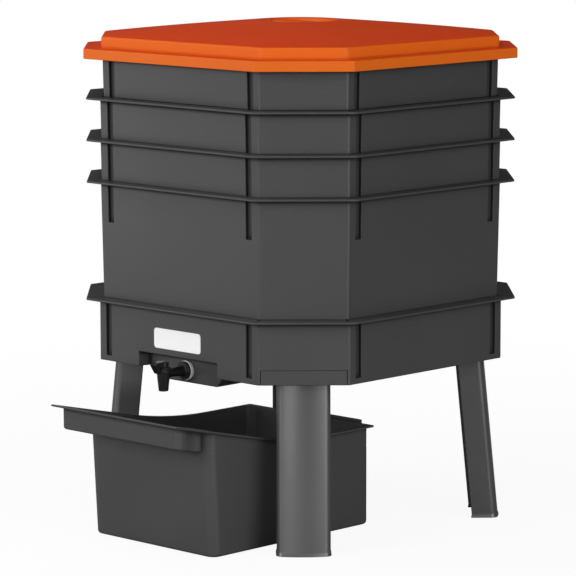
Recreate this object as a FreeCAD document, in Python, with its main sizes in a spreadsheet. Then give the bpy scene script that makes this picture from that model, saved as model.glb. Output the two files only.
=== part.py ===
"""Stacking tray wormery: lid, four nesting trays, sump with a drain tap, four splayed legs, collecting tub.

All sizes are millimetres. The frame has +Z up, z = 0 on the floor, and its origin in the middle of the
whole footprint. The stack stands on its own vertical axis, which lies stack_back behind that origin,
because the collecting tub reaches out in front. The tap looks along -Y.
Flat half widths are measured from the stack's axis to a wall, corner half widths to a cut-off corner.
"""
import FreeCAD, Part
import math
import os
import re

import Sketcher

Vector = FreeCAD.Vector
Rotation = FreeCAD.Rotation

# Driving sizes: name, value, what it is
SIZES = [
    ("tray_flat", 208.2, "half width of a tray's wall under its rim"),
    ("corner_reach", 33.6, "how much farther out a tray's cut-off corner lies than its wall"),
    ("tray_pitch", 50.4, "height that one nested tray adds to the stack"),
    ("tray_depth", 143.0, "rim to the underside of a nesting tray's floor"),
    ("deep_height", 143.1, "visible height of the bottom tray"),
    ("top_inset", 3.2, "how much smaller the top tray is on each side"),
    ("wall_draft", 1.05, "draft of the visible walls, degrees"),
    ("skirt_draft", 3.5, "draft of the nested skirts, degrees"),
    ("wall_thick", 2.5, "wall of the trays, the lid and the tub"),
    ("rim_thick", 2.6, "thickness of every rim"),
    ("rim_reach", 16.9, "how far a tray's rim stands out from its wall"),
    ("shoulder_step", 5.8, "step from the visible wall in to the nested skirt"),
    ("groove_end", 11.96, "from a wall groove to the end of its wall"),
    ("groove_width", 9.3, "width of a wall groove"),
    ("groove_depth", 3.4, "depth of a wall groove"),
    ("hole_radius", 4.0, "radius of a drain hole in a tray's floor"),
    ("hole_margin", 29.67, "how far the outermost drain holes lie inside a tray's corner"),
    ("base_spread", 2.1, "how much farther out the sump's wall lies than a tray's"),
    ("base_corner_spread", 2.3, "how much farther out the sump's cut-off corner lies than a tray's"),
    ("base_bottom", 203.9, "underside of the sump above the floor"),
    ("base_height", 76.7, "height of the sump"),
    ("base_wall", 3.0, "wall and floor of the sump"),
    ("base_reach", 16.4, "how far the sump's rim stands out"),
    ("base_groove_end", 10.61, "from a groove in the sump's wall to the end of that wall"),
    ("base_groove_foot", 7.0, "solid height under a groove in the sump's wall"),
    ("seat_bearing", 4.7, "width on which the bottom tray stands"),
    ("seat_depth", 22.0, "how far the bottom tray drops into the sump"),
    ("nest_gap", 0.8, "clearance between nested pieces"),
    ("notch_half", 66.5, "half width of the recess over the tap"),
    ("notch_height", 18.0, "height of the recess over the tap"),
    ("notch_depth", 16.0, "how far the tap's panel stands behind the wall"),
    ("well_depth", 14.4, "how far the drain well hangs under the sump"),
    ("well_half_low", 50.5, "half width of the drain well at its bottom"),
    ("well_half_high", 62.5, "half width of the drain well at the sump's floor"),
    ("well_length", 50.0, "length of the drain well from the tap's panel back"),
    ("socket_margin", 2.91, "from a leg socket to the end of the sump's cut-off corner"),
    ("socket_height", 17.5, "height of a leg socket"),
    ("socket_back", 3.92, "how far a leg socket reaches in behind its leg"),
    ("socket_roof", 2.5, "material over the top of a leg"),
    ("socket_gap", 0.4, "clearance round a socket and round a leg's top"),
    ("leg_width", 63.4, "width of a leg"),
    ("leg_depth", 31.5, "depth of a leg without its crown"),
    ("leg_crown", 2.5, "height of the crown on a leg's outer face"),
    ("leg_crown_inset", 7.2, "from a leg's side to the crown on its outer face"),
    ("leg_wall", 3.0, "wall of a leg"),
    ("leg_setback", 53.18, "from the sump's cut-off corner in to the inner edge of a leg's top"),
    ("leg_splay", 5.5, "outward lean of a leg, degrees"),
    ("leg_round", 8.0, "radius of a leg's outer corners"),
    ("foot_height", 5.0, "height of the flared foot of a leg"),
    ("foot_flare", 1.6, "how far the foot of a leg flares"),
    ("lid_drop", 4.0, "how far the lid's skirt hangs below the top rim"),
    ("lid_skirt", 12.5, "height of the lid's skirt"),
    ("lid_gap", 0.9, "clearance from the top rim to the lid's skirt"),
    ("lid_wall", 2.8, "thickness of the lid's skirt"),
    ("lid_step_in", 20.6, "width of the ledge round the lid"),
    ("lid_step", 13.9, "height of the lid's raised step"),
    ("lid_rise", 16.5, "rise of the lid's roof from the step to the dish"),
    ("dish_radius", 45.0, "radius of the hand dish in the lid"),
    ("dish_floor", 36.0, "radius of the dish at its floor"),
    ("dish_depth", 13.0, "depth of the hand dish"),
    ("grip_width", 12.0, "width of the grip across the dish"),
    ("rest_rib", 3.0, "width of the rib on which the lid rests"),
    ("label_width", 79.0, "width of the label"),
    ("label_height", 24.2, "height of the label"),
    ("label_thick", 0.6, "thickness of the label"),
    ("label_round", 4.0, "corner radius of the label"),
    ("label_foot", 25.9, "lower edge of the label above the sump's underside"),
    ("tap_height", 0.9, "tap's axis above the sump's underside"),
    ("tap_tail", 7.8, "radius of the tap's threaded tail"),
    ("tap_tail_length", 15.0, "length of the tail behind the tap's collar"),
    ("tap_bore", 4.0, "radius of the water way"),
    ("tap_hole_gap", 0.2, "clearance round the tap's tail"),
    ("tap_collar_ring", 2.6, "how far the tap's collar stands out from its tail"),
    ("tap_collar_thick", 3.3, "thickness of the tap's collar"),
    ("stem_wide", 5.8, "radius of the tap's stem at the collar"),
    ("stem_slim", 4.9, "radius of the tap's stem at the barrel"),
    ("barrel_reach", 39.3, "tap's panel to the barrel's axis"),
    ("barrel_radius", 8.9, "radius of the tap's barrel"),
    ("barrel_up", 8.2, "barrel's top above the tap's axis"),
    ("barrel_down", 1.4, "where the spout starts above the tap's axis"),
    ("spout_drop", 20.4, "spout's mouth below the tap's axis"),
    ("spout_radius", 5.9, "radius of the spout's mouth"),
    ("core_radius", 5.4, "radius of the turning core"),
    ("core_bore", 3.6, "radius of the water way through the turning core"),
    ("core_gap", 0.1, "clearance round the turning core"),
    ("core_drop", 14.0, "core's lower end below the tap's axis"),
    ("spindle_side", 6.0, "side of the square spindle"),
    ("spindle_height", 4.6, "height of the square spindle"),
    ("lever_radius", 6.5, "radius of the lever's boss"),
    ("lever_height", 7.2, "height of the lever's boss"),
    ("lever_width", 10.0, "width of the lever's thumb piece"),
    ("lever_reach", 17.6, "length of the lever from the barrel's axis"),
    ("lever_gap", 0.3, "running gap under the lever"),
    ("seal_radius", 0.5, "radius of the core's seal section"),
    ("washer_ring", 4.0, "how far the white outer washer stands out from the tap's tail"),
    ("washer_thick", 1.6, "thickness of the white outer washer"),
    ("inner_washer_ring", 2.8, "how far the inner washer stands out from the tap's tail"),
    ("inner_washer_thick", 2.0, "thickness of the inner washer"),
    ("nut_ring", 2.7, "from the tap's tail to a flat of its nut"),
    ("nut_thick", 6.0, "thickness of the tap's nut"),
    ("tub_leg_room", 29.49, "room between the collecting tub's body and the foot of a leg"),
    ("tub_back", 17.4, "back of the tub's body behind the stack's axis"),
    ("tub_lead", 20.0, "how far the tub's body reaches out before the spout"),
    ("tub_round", 18.0, "radius of the tub's upright edges"),
    ("tub_headroom", 81.4, "from the level stretch of the tub's rim up to the sump"),
    ("tub_bend", 60.0, "where the tub's rim starts to climb, before the axis"),
    ("tub_bend_radius", 587.0, "radius of the climbing curve of the tub's rim"),
    ("tub_ramp", 12.8, "climb of the tub's rim at its front, degrees"),
    ("tub_rim_side", 9.6, "how far the tub's rim stands out at its sides"),
    ("tub_rim_back", 2.8, "how far the tub's rim stands out at its back"),
    ("tub_rim_front", 11.0, "how far the tub's rim stands out at its front"),
    ("tub_rim_thick", 2.4, "thickness of the tub's rim"),
    ("chute_length", 53.4, "how far the chute stands out before the tub's body"),
    ("chute_inset", 1.0, "how much narrower the chute is than the tub on each side"),
    ("chute_climb", 13.5, "underside of the chute above the level stretch of the tub's rim"),
    ("chute_round", 10.0, "radius of the chute's upright edges"),
    ("upstand_inset", 12.0, "from the tub's side to the end of the upstand on its back rim"),
    ("upstand_height", 4.5, "height of the upstand on the tub's back rim"),
]

# Sizes that follow from the driving ones: name, formula, what it is
LINKED = [
    ("tray_corner", "tray_flat + corner_reach", "axis to a tray's cut-off corner under its rim"),
    ("groove_start", "sqrt(2) * tray_corner - tray_flat - groove_end - groove_width",
     "near edge of a wall groove from the wall's middle"),
    ("hole_field", "sqrt(2) * (tray_corner - hole_margin)", "side of the square that the drain holes fill"),
    ("base_flat", "tray_flat + base_spread", "half width of the sump's wall"),
    ("base_corner", "tray_corner + base_corner_spread", "axis to the sump's cut-off corner"),
    ("base_groove_start", "sqrt(2) * base_corner - base_flat - base_groove_end - groove_width",
     "near edge of a groove in the sump's wall"),
    ("socket_width", "2 * (sqrt(2) * base_flat - base_corner - socket_margin)", "width of a leg socket"),
    ("socket_inner", "base_corner - leg_setback - socket_back", "axis to the inner face of a leg socket"),
    ("leg_top", "base_bottom + socket_height - socket_roof", "height of a leg's top"),
    ("leg_foot", "base_corner - leg_setback + leg_top * tan(leg_splay)",
     "axis to a leg's inner edge on the floor"),
    ("leg_crown_width", "leg_width - 2 * leg_crown_inset", "width of the crown on a leg's outer face"),
    ("tap_collar", "tap_tail + tap_collar_ring", "radius of the tap's collar"),
    ("washer_radius", "tap_tail + washer_ring", "radius of the white outer washer"),
    ("inner_washer_radius", "tap_tail + inner_washer_ring", "radius of the inner washer"),
    ("nut_flats", "2 * (tap_tail + nut_ring)", "width across the flats of the tap's nut"),
    ("tub_half", "(leg_foot - leg_width / 2) / sqrt(2) - tub_leg_room", "half width of the tub's body"),
    ("tub_front", "base_flat - notch_depth + barrel_reach + tub_lead",
     "front of the tub's body before the stack's axis"),
    ("tub_rim_height", "base_bottom - tub_headroom", "height of the level stretch of the tub's rim"),
    ("chute_floor", "tub_rim_height + chute_climb", "underside of the chute above the floor"),
    ("upstand_half", "tub_half - upstand_inset", "half width of the upstand on the tub's back rim"),
]

HOLES_PER_SIDE = 11
WALL_TURNS = (0, 90, 180, 270)
LEG_TURNS = {"front": -45, "right": 45, "back": 135, "left": -135}

# Places that follow from the driving sizes
BASE_TOP = "(base_bottom + base_height)"
CHUTE_FRONT = "(tub_front + chute_length)"
CHUTE_HALF = "(tub_half - chute_inset)"
CHUTE_WAIST = "(tub_half - tub_round - chute_inset)"
TUB_RIM_FRONT = f"({CHUTE_FRONT} + tub_rim_front)"
TUB_RIM_BACK = "(tub_back + tub_rim_back)"
STACK_BACK = f"(({TUB_RIM_FRONT} - base_flat - base_reach) / 2)"
DEEP_RIM = f"({BASE_TOP} + deep_height)"
PANEL = "(base_flat - notch_depth)"
TAP_AXIS = "(base_bottom + tap_height)"
BARREL = f"({PANEL} + barrel_reach)"
LID_BOTTOM = f"({DEEP_RIM} + 3 * tray_pitch - lid_drop)"

doc = FreeCAD.newDocument("wormery")
sheet = doc.addObject("Spreadsheet::Sheet", "Sheet")
for row, (alias, size, meaning) in enumerate(SIZES + LINKED, start=1):
    sheet.set(f"A{row}", alias)
    sheet.set(f"B{row}", f"={size}")
    sheet.set(f"C{row}", meaning)
    sheet.setAlias(f"B{row}", alias)
doc.recompute()
ALIASES = {alias for alias, size, meaning in SIZES + LINKED}


def spelled(formula):
    """Write a formula of plain size names the way an expression of the document needs it."""
    def with_sheet(match):
        word = match.group()
        return "Sheet." + word if word in ALIASES else word

    return re.sub(r"[a-z_]+", with_sheet, formula)


def number(formula):
    """Value of a formula of size names."""
    return float(sheet.evalExpression(spelled(formula)))


def bind(item, **formulas):
    """Bind properties of a document object to formulas, with double underscores for dots."""
    for name, formula in formulas.items():
        item.setExpression(name.replace("__", "."), spelled(formula))


def stand(item, x="0", y="0", z="0", turn=0.0, tip=0.0):
    """Place an object: tip turns it about X, turn then turns it about Z, and x, y, z are formulas."""
    item.Placement = FreeCAD.Placement(Vector(), Rotation(turn, 0, tip))
    bind(item, Placement__Base__x=x, Placement__Base__y=y, Placement__Base__z=z)
    return item


# Part primitives and booleans
def box(name, x, y, z, length, width, height):
    """Box from its low corner."""
    item = doc.addObject("Part::Box", name)
    bind(item, Length=length, Width=width, Height=height)
    return stand(item, x, y, z)


def turned_box(name, turn, near, far, half, z, height):
    """Box that lies between two distances from the axis, in the direction turn, half wide on each side."""
    item = doc.addObject("Part::Box", name)
    bind(item, Length=f"{far} - ({near})", Width=f"2 * ({half})", Height=height)
    c, s = round(math.cos(math.radians(turn)), 9), round(math.sin(math.radians(turn)), 9)
    return stand(item, f"({near}) * {c} + ({half}) * {s}", f"({near}) * {s} - ({half}) * {c}", z, turn)


def cylinder(name, radius, height, x="0", y="0", z="0", tip=0.0):
    """Upright cylinder, or one that points to +Y when tip is -90."""
    item = doc.addObject("Part::Cylinder", name)
    bind(item, Radius=radius, Height=height)
    return stand(item, x, y, z, 0, tip)


def cone(name, low, high, height, x="0", y="0", z="0", tip=0.0):
    """Upright cone, or one that points to +Y when tip is -90."""
    item = doc.addObject("Part::Cone", name)
    bind(item, Radius1=low, Radius2=high, Height=height)
    return stand(item, x, y, z, 0, tip)


def wedge(name, z, height, low, high, turn=0.0):
    """Tapered block; low and high are (half in x, half in y) at its foot and at its top."""
    item = doc.addObject("Part::Wedge", name)
    bind(item, Xmin=f"-({low[0]})", Xmax=low[0], Zmin=f"-({low[1]})", Zmax=low[1],
         X2min=f"-({high[0]})", X2max=high[0], Z2min=f"-({high[1]})", Z2max=high[1], Ymax=height)
    item.Ymin = 0
    return stand(item, z=z, turn=turn, tip=90)


def eight_sided(name, z, height, flat, corner, shrink="0"):
    """Block with four flats and four cut-off corners, whose foot is smaller by shrink on each side."""
    foot, cut = f"{flat} - ({shrink})", f"{corner} - ({shrink})"
    square = wedge(name + "_square", z, height, (foot, foot), (flat, flat))
    diagonal = wedge(name + "_diagonal", z, height, (cut, cut), (corner, corner), 45)
    item = doc.addObject("Part::Common", name)
    item.Base, item.Tool = square, diagonal
    return item


def fuse(name, *parts):
    """Union of several objects."""
    item = doc.addObject("Part::MultiFuse", name)
    item.Shapes = list(parts)
    return item


def cut(name, base, *tools):
    """Base without its tools."""
    item = doc.addObject("Part::Cut", name)
    item.Base = base
    item.Tool = tools[0] if len(tools) == 1 else fuse(name + "_tools", *tools)
    return item


def wall_blocks(name, flat, start, width, inner, outer, z, height):
    """Eight upright blocks, two at each wall, between the distances inner and outer from the axis."""
    blocks = []
    for turn in WALL_TURNS:
        c, s = round(math.cos(math.radians(turn)), 9), round(math.sin(math.radians(turn)), 9)
        for side, low in (("a", f"({start})"), ("b", f"(-({start}) - ({width}))")):
            item = doc.addObject("Part::Box", f"{name}_{turn}_{side}")
            bind(item, Length=f"{outer} - ({inner})", Width=width, Height=height)
            stand(item, f"({inner}) * {c} - {low} * {s}", f"({inner}) * {s} + {low} * {c}", z, turn)
            blocks.append(item)
    return blocks


# Sketches and features of a body
def new_body(name):
    """Empty body with its label."""
    item = doc.addObject("PartDesign::Body", name)
    item.Label = name
    return item


def new_sketch(body, name, role="XY_Plane", offset=None):
    """Sketch on one of the body's own planes, moved along its normal by a formula."""
    sketch = body.newObject("Sketcher::SketchObject", name)
    plane = next(item for item in body.Origin.OriginFeatures if item.Role == role)
    sketch.AttachmentSupport = [(plane, "")]
    sketch.MapMode = "FlatFace"
    if offset:
        bind(sketch, AttachmentOffset__Base__z=offset)
    return sketch


def pin(sketch, line, end, x=None, y=None):
    """Hold one end of a line at a distance from the sketch's axes."""
    for kind, formula in (("DistanceX", x), ("DistanceY", y)):
        if formula is not None:
            index = sketch.addConstraint(Sketcher.Constraint(kind, -1, 1, line, end, number(formula)))
            sketch.setExpression(f"Constraints[{index}]", spelled(formula))


def polygon(sketch, corners):
    """Closed outline through corners that are pairs of formulas."""
    spots = [Vector(number(x), number(y), 0) for x, y in corners]
    count = len(corners)
    first = sketch.GeometryCount
    for i in range(count):
        sketch.addGeometry(Part.LineSegment(spots[i], spots[(i + 1) % count]), False)
    for i in range(count):
        sketch.addConstraint(Sketcher.Constraint("Coincident", first + i, 2, first + (i + 1) % count, 1))
    for i, (x, y) in enumerate(corners):
        pin(sketch, first + i, 1, x, y)


def rectangle(sketch, x_low, x_high, y_low, y_high):
    """Closed rectangle between formulas."""
    polygon(sketch, [(x_low, y_low), (x_high, y_low), (x_high, y_high), (x_low, y_high)])


def feature(body, kind, name, sketch, length=None, **settings):
    """Pad or pocket of a sketch, with its length as a formula."""
    item = body.newObject("PartDesign::" + kind, name)
    item.Profile = sketch
    if length:
        bind(item, Length=length)
    for key, setting in settings.items():
        setattr(item, key, setting)
    sketch.Visibility = False
    doc.recompute()
    return item


def is_upright(edge, lean=0.2):
    """True for a straight edge within lean of vertical."""
    if not isinstance(edge.Curve, (Part.Line, Part.LineSegment)):
        return False
    run = edge.lastVertex().Point - edge.firstVertex().Point
    return math.hypot(run.x, run.y) < lean * abs(run.z)


def round_edges(body, name, base, radius, wanted):
    """Fillet of the base's edges that wanted accepts."""
    edges = [f"Edge{i}" for i, edge in enumerate(base.Shape.Edges, start=1) if wanted(edge)]
    item = body.newObject("PartDesign::Fillet", name)
    item.Base = (base, edges)
    bind(item, Radius=radius)
    doc.recompute()
    return item


NODES = []


def finished(item, label, x="0", y=STACK_BACK, z="0", turn=0.0):
    """Name a finished piece and put it in its place."""
    item.Label = label
    item.Placement = FreeCAD.Placement(Vector(), Rotation(turn, 0, 0))
    bind(item, Placement__Base__x=x, Placement__Base__y=y, Placement__Base__z=z)
    NODES.append(item)


def drain_holes():
    """Grid of upright pins that cut the drain holes of one floor."""
    pitch = number("hole_field") / (HOLES_PER_SIDE - 1)
    low = -number("hole_field") / 2
    reach = 2 * number("wall_thick")
    spots = [Vector(low + i * pitch, low + j * pitch, -reach)
             for i in range(HOLES_PER_SIDE) for j in range(HOLES_PER_SIDE)]
    pins = [Part.makeCylinder(number("hole_radius"), 2 * reach, spot) for spot in spots]
    return Part.makeCompound(pins)


def punched(name, base, floor_level):
    """Base with its drain holes cut at floor_level."""
    tool = doc.addObject("Part::Feature", name + "_holes")
    tool.Shape = drain_holes()
    bind(tool, Placement__Base__z=floor_level)
    return cut(name, base, tool)


# Trays: z = 0 is the top of each tray's rim
def nesting_tray(name, inset, rim_level):
    """Tray whose skirt drops into the tray below and whose shoulder rests on that tray's rim."""
    flat, corner = f"(tray_flat - {inset})", f"(tray_corner - {inset})"
    lean = "tray_pitch * tan(wall_draft)"
    nested = "(tray_depth - tray_pitch)"
    skirt_flat, skirt_corner = f"({flat} - {lean} - shoulder_step)", f"({corner} - {lean} - shoulder_step)"
    hollow = "wall_thick * (1 - tan(skirt_draft))"
    outside = fuse(
        name + "_outside",
        eight_sided(name + "_wall", "-tray_pitch", "tray_pitch", flat, corner, lean),
        eight_sided(name + "_skirt", "-tray_depth", nested, skirt_flat, skirt_corner,
                    f"{nested} * tan(skirt_draft)"),
        eight_sided(name + "_rim", "-rim_thick", "rim_thick", f"{flat} + rim_reach",
                    f"{corner} + rim_reach"))
    visible = "(tray_pitch - wall_thick)"
    inside = fuse(
        name + "_inside",
        eight_sided(name + "_room", f"-{visible}", visible, f"{flat} - wall_thick", f"{corner} - wall_thick",
                    f"{visible} * tan(wall_draft)"),
        eight_sided(name + "_nest", "-tray_depth + wall_thick", nested, f"{skirt_flat} - {hollow}",
                    f"{skirt_corner} - {hollow}", f"{nested} * tan(skirt_draft)"))
    ribs = wall_blocks(name + "_rib", flat, "groove_start - wall_thick", "groove_width + 2 * wall_thick",
                       f"{flat} - groove_depth - wall_thick", f"{flat} - wall_thick / 2",
                       "-tray_pitch", "tray_pitch")
    grooves = wall_blocks(name + "_groove", flat, "groove_start", "groove_width", f"{flat} - groove_depth",
                          f"{flat} + wall_thick", "-tray_pitch - wall_thick",
                          "tray_pitch + wall_thick - rim_thick")
    shell = fuse(name + "_ribbed", cut(name + "_shell", outside, inside), *ribs)
    item = punched(name, cut(name + "_grooved", shell, *grooves), "-tray_depth")
    finished(item, name, z=rim_level)


def deep_tray(name):
    """Bottom tray: its whole height shows, its shoulder stands on the sump's seat."""
    lean = "deep_height * tan(wall_draft)"
    seat_flat = f"(tray_flat - {lean} - seat_bearing - nest_gap)"
    seat_corner = f"(tray_corner - {lean} - seat_bearing - nest_gap)"
    outside = fuse(
        name + "_outside",
        eight_sided(name + "_wall", "-deep_height", "deep_height", "tray_flat", "tray_corner", lean),
        eight_sided(name + "_foot", "-deep_height - seat_depth", "seat_depth", seat_flat, seat_corner,
                    "seat_depth * tan(skirt_draft)"),
        eight_sided(name + "_rim", "-rim_thick", "rim_thick", "tray_flat + rim_reach",
                    "tray_corner + rim_reach"))
    visible = "(deep_height - wall_thick)"
    hollow = "wall_thick * (1 - tan(skirt_draft))"
    inside = fuse(
        name + "_inside",
        eight_sided(name + "_room", f"-{visible}", visible, "tray_flat - wall_thick",
                    "tray_corner - wall_thick", f"{visible} * tan(wall_draft)"),
        eight_sided(name + "_nest", "-deep_height - seat_depth + wall_thick", "seat_depth",
                    f"{seat_flat} - {hollow}", f"{seat_corner} - {hollow}", "seat_depth * tan(skirt_draft)"))
    ribs = wall_blocks(name + "_rib", "tray_flat", "groove_start - wall_thick",
                       "groove_width + 2 * wall_thick", "tray_flat - groove_depth - wall_thick",
                       "tray_flat - wall_thick", "-tray_pitch - wall_thick", "tray_pitch + wall_thick")
    grooves = wall_blocks(name + "_groove", "tray_flat", "groove_start", "groove_width",
                          "tray_flat - groove_depth", "tray_flat + wall_thick", "-tray_pitch",
                          "tray_pitch - rim_thick")
    shell = fuse(name + "_ribbed", cut(name + "_shell", outside, inside), *ribs)
    item = punched(name, cut(name + "_grooved", shell, *grooves), "-deep_height - seat_depth")
    finished(item, name, z=DEEP_RIM)


# Sump: z = 0 is its underside
def sump_base():
    """Sump with its rim, tap recess, drain well and four recesses for the leg sockets."""
    lean = "deep_height * tan(wall_draft)"
    seat_flat = f"(tray_flat - {lean} - seat_bearing)"
    seat_corner = f"(tray_corner - {lean} - seat_bearing)"
    panel_back = f"({PANEL} - base_wall)"
    recess_height = "(socket_height + socket_gap)"
    tub_wall = eight_sided("base_wall_block", "0", "base_height", "base_flat", "base_corner")
    rim = eight_sided("base_rim", "base_height - rim_thick", "rim_thick", "base_flat + base_reach",
                      "base_corner + base_reach")
    room = eight_sided("base_room", "base_wall", "base_height - base_wall - rim_thick",
                       "base_flat - base_wall", "base_corner - base_wall")
    mouth = eight_sided("base_mouth", "base_height - 2 * rim_thick", "3 * rim_thick", seat_flat, seat_corner)
    shell = cut("base_shell", fuse("base_outside", tub_wall, rim), fuse("base_inside", room, mouth))

    housings = [box("notch_housing", "-notch_half - base_wall", "-base_flat + base_wall / 2", "0",
                    "2 * (notch_half + base_wall)", "notch_depth + base_wall / 2",
                    "notch_height + base_wall")]
    recesses = [box("notch", "-notch_half", "-base_flat - base_wall", "-1", "2 * notch_half",
                    "notch_depth + base_wall", "notch_height + 1")]
    for side, turn in LEG_TURNS.items():
        housings.append(turned_box(f"socket_housing_{side}", turn,
                                   "socket_inner - socket_gap - base_wall", "base_corner - base_wall / 2",
                                   "socket_width / 2 + socket_gap + base_wall", "0",
                                   f"{recess_height} + base_wall"))
        recesses.append(turned_box(f"socket_recess_{side}", turn, "socket_inner - socket_gap",
                                   "base_corner + base_wall", "socket_width / 2 + socket_gap", "-1",
                                   f"{recess_height} + 1"))

    well = doc.addObject("Part::Wedge", "well_block")
    bind(well, Xmin="-well_half_low", Xmax="well_half_low", X2min="-well_half_high", X2max="well_half_high",
         Zmin=f"{PANEL} - well_length", Zmax=PANEL, Z2min=f"{PANEL} - well_length", Z2max=PANEL,
         Ymax="well_depth")
    well.Ymin = 0
    stand(well, z="-well_depth", tip=90)
    hollow = doc.addObject("Part::Wedge", "well_hollow")
    bind(hollow, Xmin="-(well_half_low - base_wall)", Xmax="well_half_low - base_wall",
         X2min="-(well_half_high - base_wall)", X2max="well_half_high - base_wall",
         Zmin=f"{PANEL} - well_length + base_wall", Zmax=panel_back,
         Z2min=f"{PANEL} - well_length + base_wall", Z2max=panel_back, Ymax="well_depth + nest_gap")
    hollow.Ymin = 0
    stand(hollow, z="-well_depth + base_wall", tip=90)

    ribs = wall_blocks("base_rib", "base_flat", "base_groove_start - base_wall",
                       "groove_width + 2 * base_wall", "base_flat - groove_depth - base_wall",
                       "base_flat - base_wall / 2", "base_wall / 2", "base_height - base_wall")
    grooves = wall_blocks("base_groove", "base_flat", "base_groove_start", "groove_width",
                          "base_flat - groove_depth", "base_flat + base_wall", "base_groove_foot",
                          "base_height - base_groove_foot - rim_thick")
    hole = cylinder("tap_hole", "tap_tail + tap_hole_gap", "3 * base_wall", "0", f"-{PANEL} - base_wall",
                    "tap_height", -90)
    body = fuse("base_filled", shell, well, *housings, *ribs)
    finished(cut("sump_base", body, hollow, hole, *recesses, *grooves), "sump_base", z="base_bottom")


# Legs and sockets: x points outwards along a leg's own direction
def lean_direction():
    """Direction from a leg's foot to its top, in the leg's own frame."""
    return Vector(-math.tan(math.radians(number("leg_splay"))), 0, 1)


def leg(side, turn):
    """Splayed channel leg with a crowned outer face and a flared foot."""
    name = "leg_" + side
    body = new_body(name)
    half, crown = "leg_width / 2", "leg_crown_width / 2"
    outer = "(leg_foot + leg_depth)"
    slant = {"UseCustomVector": True, "Direction": lean_direction(), "AlongSketchNormal": True}
    sketch = new_sketch(body, name + "_outline")
    rectangle(sketch, "leg_foot", outer, f"-{half}", half)
    block = feature(body, "Pad", name + "_block", sketch, "leg_top", **slant)
    rounded = round_edges(body, name + "_rounded", block, "leg_round",
                          lambda e: is_upright(e) and e.CenterOfMass.x > number("leg_foot"))

    crown_radius = f"(({crown}) ^ 2 + leg_crown ^ 2) / (2 * leg_crown)"
    radius = number(crown_radius)
    middle = Vector(number(f"{outer} + leg_crown") - radius, 0, 0)
    swing = math.asin(number(crown) / radius)
    sketch = new_sketch(body, name + "_crown_outline")
    ends = [Vector(number(outer), side_y, 0) for side_y in (number(crown), -number(crown))]
    line = sketch.addGeometry(Part.LineSegment(ends[0], ends[1]), False)
    circle = Part.Circle(middle, Vector(0, 0, 1), radius)
    arc = sketch.addGeometry(Part.ArcOfCircle(circle, -swing, swing), False)
    sketch.addConstraint(Sketcher.Constraint("Coincident", line, 2, arc, 1))
    sketch.addConstraint(Sketcher.Constraint("Coincident", line, 1, arc, 2))
    pin(sketch, line, 1, outer, crown)
    pin(sketch, line, 2, outer, f"-{crown}")
    index = sketch.addConstraint(Sketcher.Constraint("Radius", arc, radius))
    sketch.setExpression(f"Constraints[{index}]", spelled(crown_radius))
    feature(body, "Pad", name + "_crown", sketch, "leg_top", **slant)

    sketch = new_sketch(body, name + "_foot_outline")
    flare = f"({outer} + leg_crown + foot_flare / 2)"
    polygon(sketch, [("leg_foot + foot_flare", f"-{half} - foot_flare / 2"),
                     (f"{flare} - leg_round", f"-{half} - foot_flare / 2"),
                     (flare, f"-{half} + leg_round - foot_flare / 2"),
                     (flare, f"{half} - leg_round + foot_flare / 2"),
                     (f"{flare} - leg_round", f"{half} + foot_flare / 2"),
                     ("leg_foot + foot_flare", f"{half} + foot_flare / 2")])
    feature(body, "Pad", name + "_foot", sketch, "foot_height", **slant)

    sketch = new_sketch(body, name + "_channel_outline")
    bottom, side = f"{outer} - leg_wall", f"({half} - leg_wall)"
    polygon(sketch, [("leg_foot - leg_wall", f"-{side}"), (f"{outer} - leg_round", f"-{side}"),
                     (bottom, f"-{half} + leg_round"), (bottom, f"{half} - leg_round"),
                     (f"{outer} - leg_round", side), ("leg_foot - leg_wall", side)])
    feature(body, "Pocket", name + "_channel", sketch, "leg_top + leg_wall", **slant)
    finished(body, name, turn=turn)


def leg_socket(side, turn):
    """Socket block in a corner of the sump, open below, which takes a leg's top."""
    name = "leg_socket_" + side
    block = turned_box(name + "_block", 0, "socket_inner", "base_corner", "socket_width / 2", "base_bottom",
                       "socket_height")
    shift = "((base_bottom - 1) * tan(leg_splay))"
    hollow = doc.addObject("Part::Extrusion", name + "_hollow")
    outline = doc.addObject("Sketcher::SketchObject", name + "_outline")
    bind(outline, Placement__Base__z="base_bottom - 1")
    near = f"leg_foot - {shift} - socket_gap"
    far = f"leg_foot + leg_depth + leg_crown - {shift} + socket_gap"
    rectangle(outline, near, far, "-leg_width / 2 - socket_gap", "leg_width / 2 + socket_gap")
    hollow.Base = outline
    hollow.DirMode = "Custom"
    hollow.Dir = lean_direction()
    hollow.Solid = True
    bind(hollow, LengthFwd="(socket_height - socket_roof + 1) / cos(leg_splay)")
    finished(cut(name, block, hollow), name, turn=turn)


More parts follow.
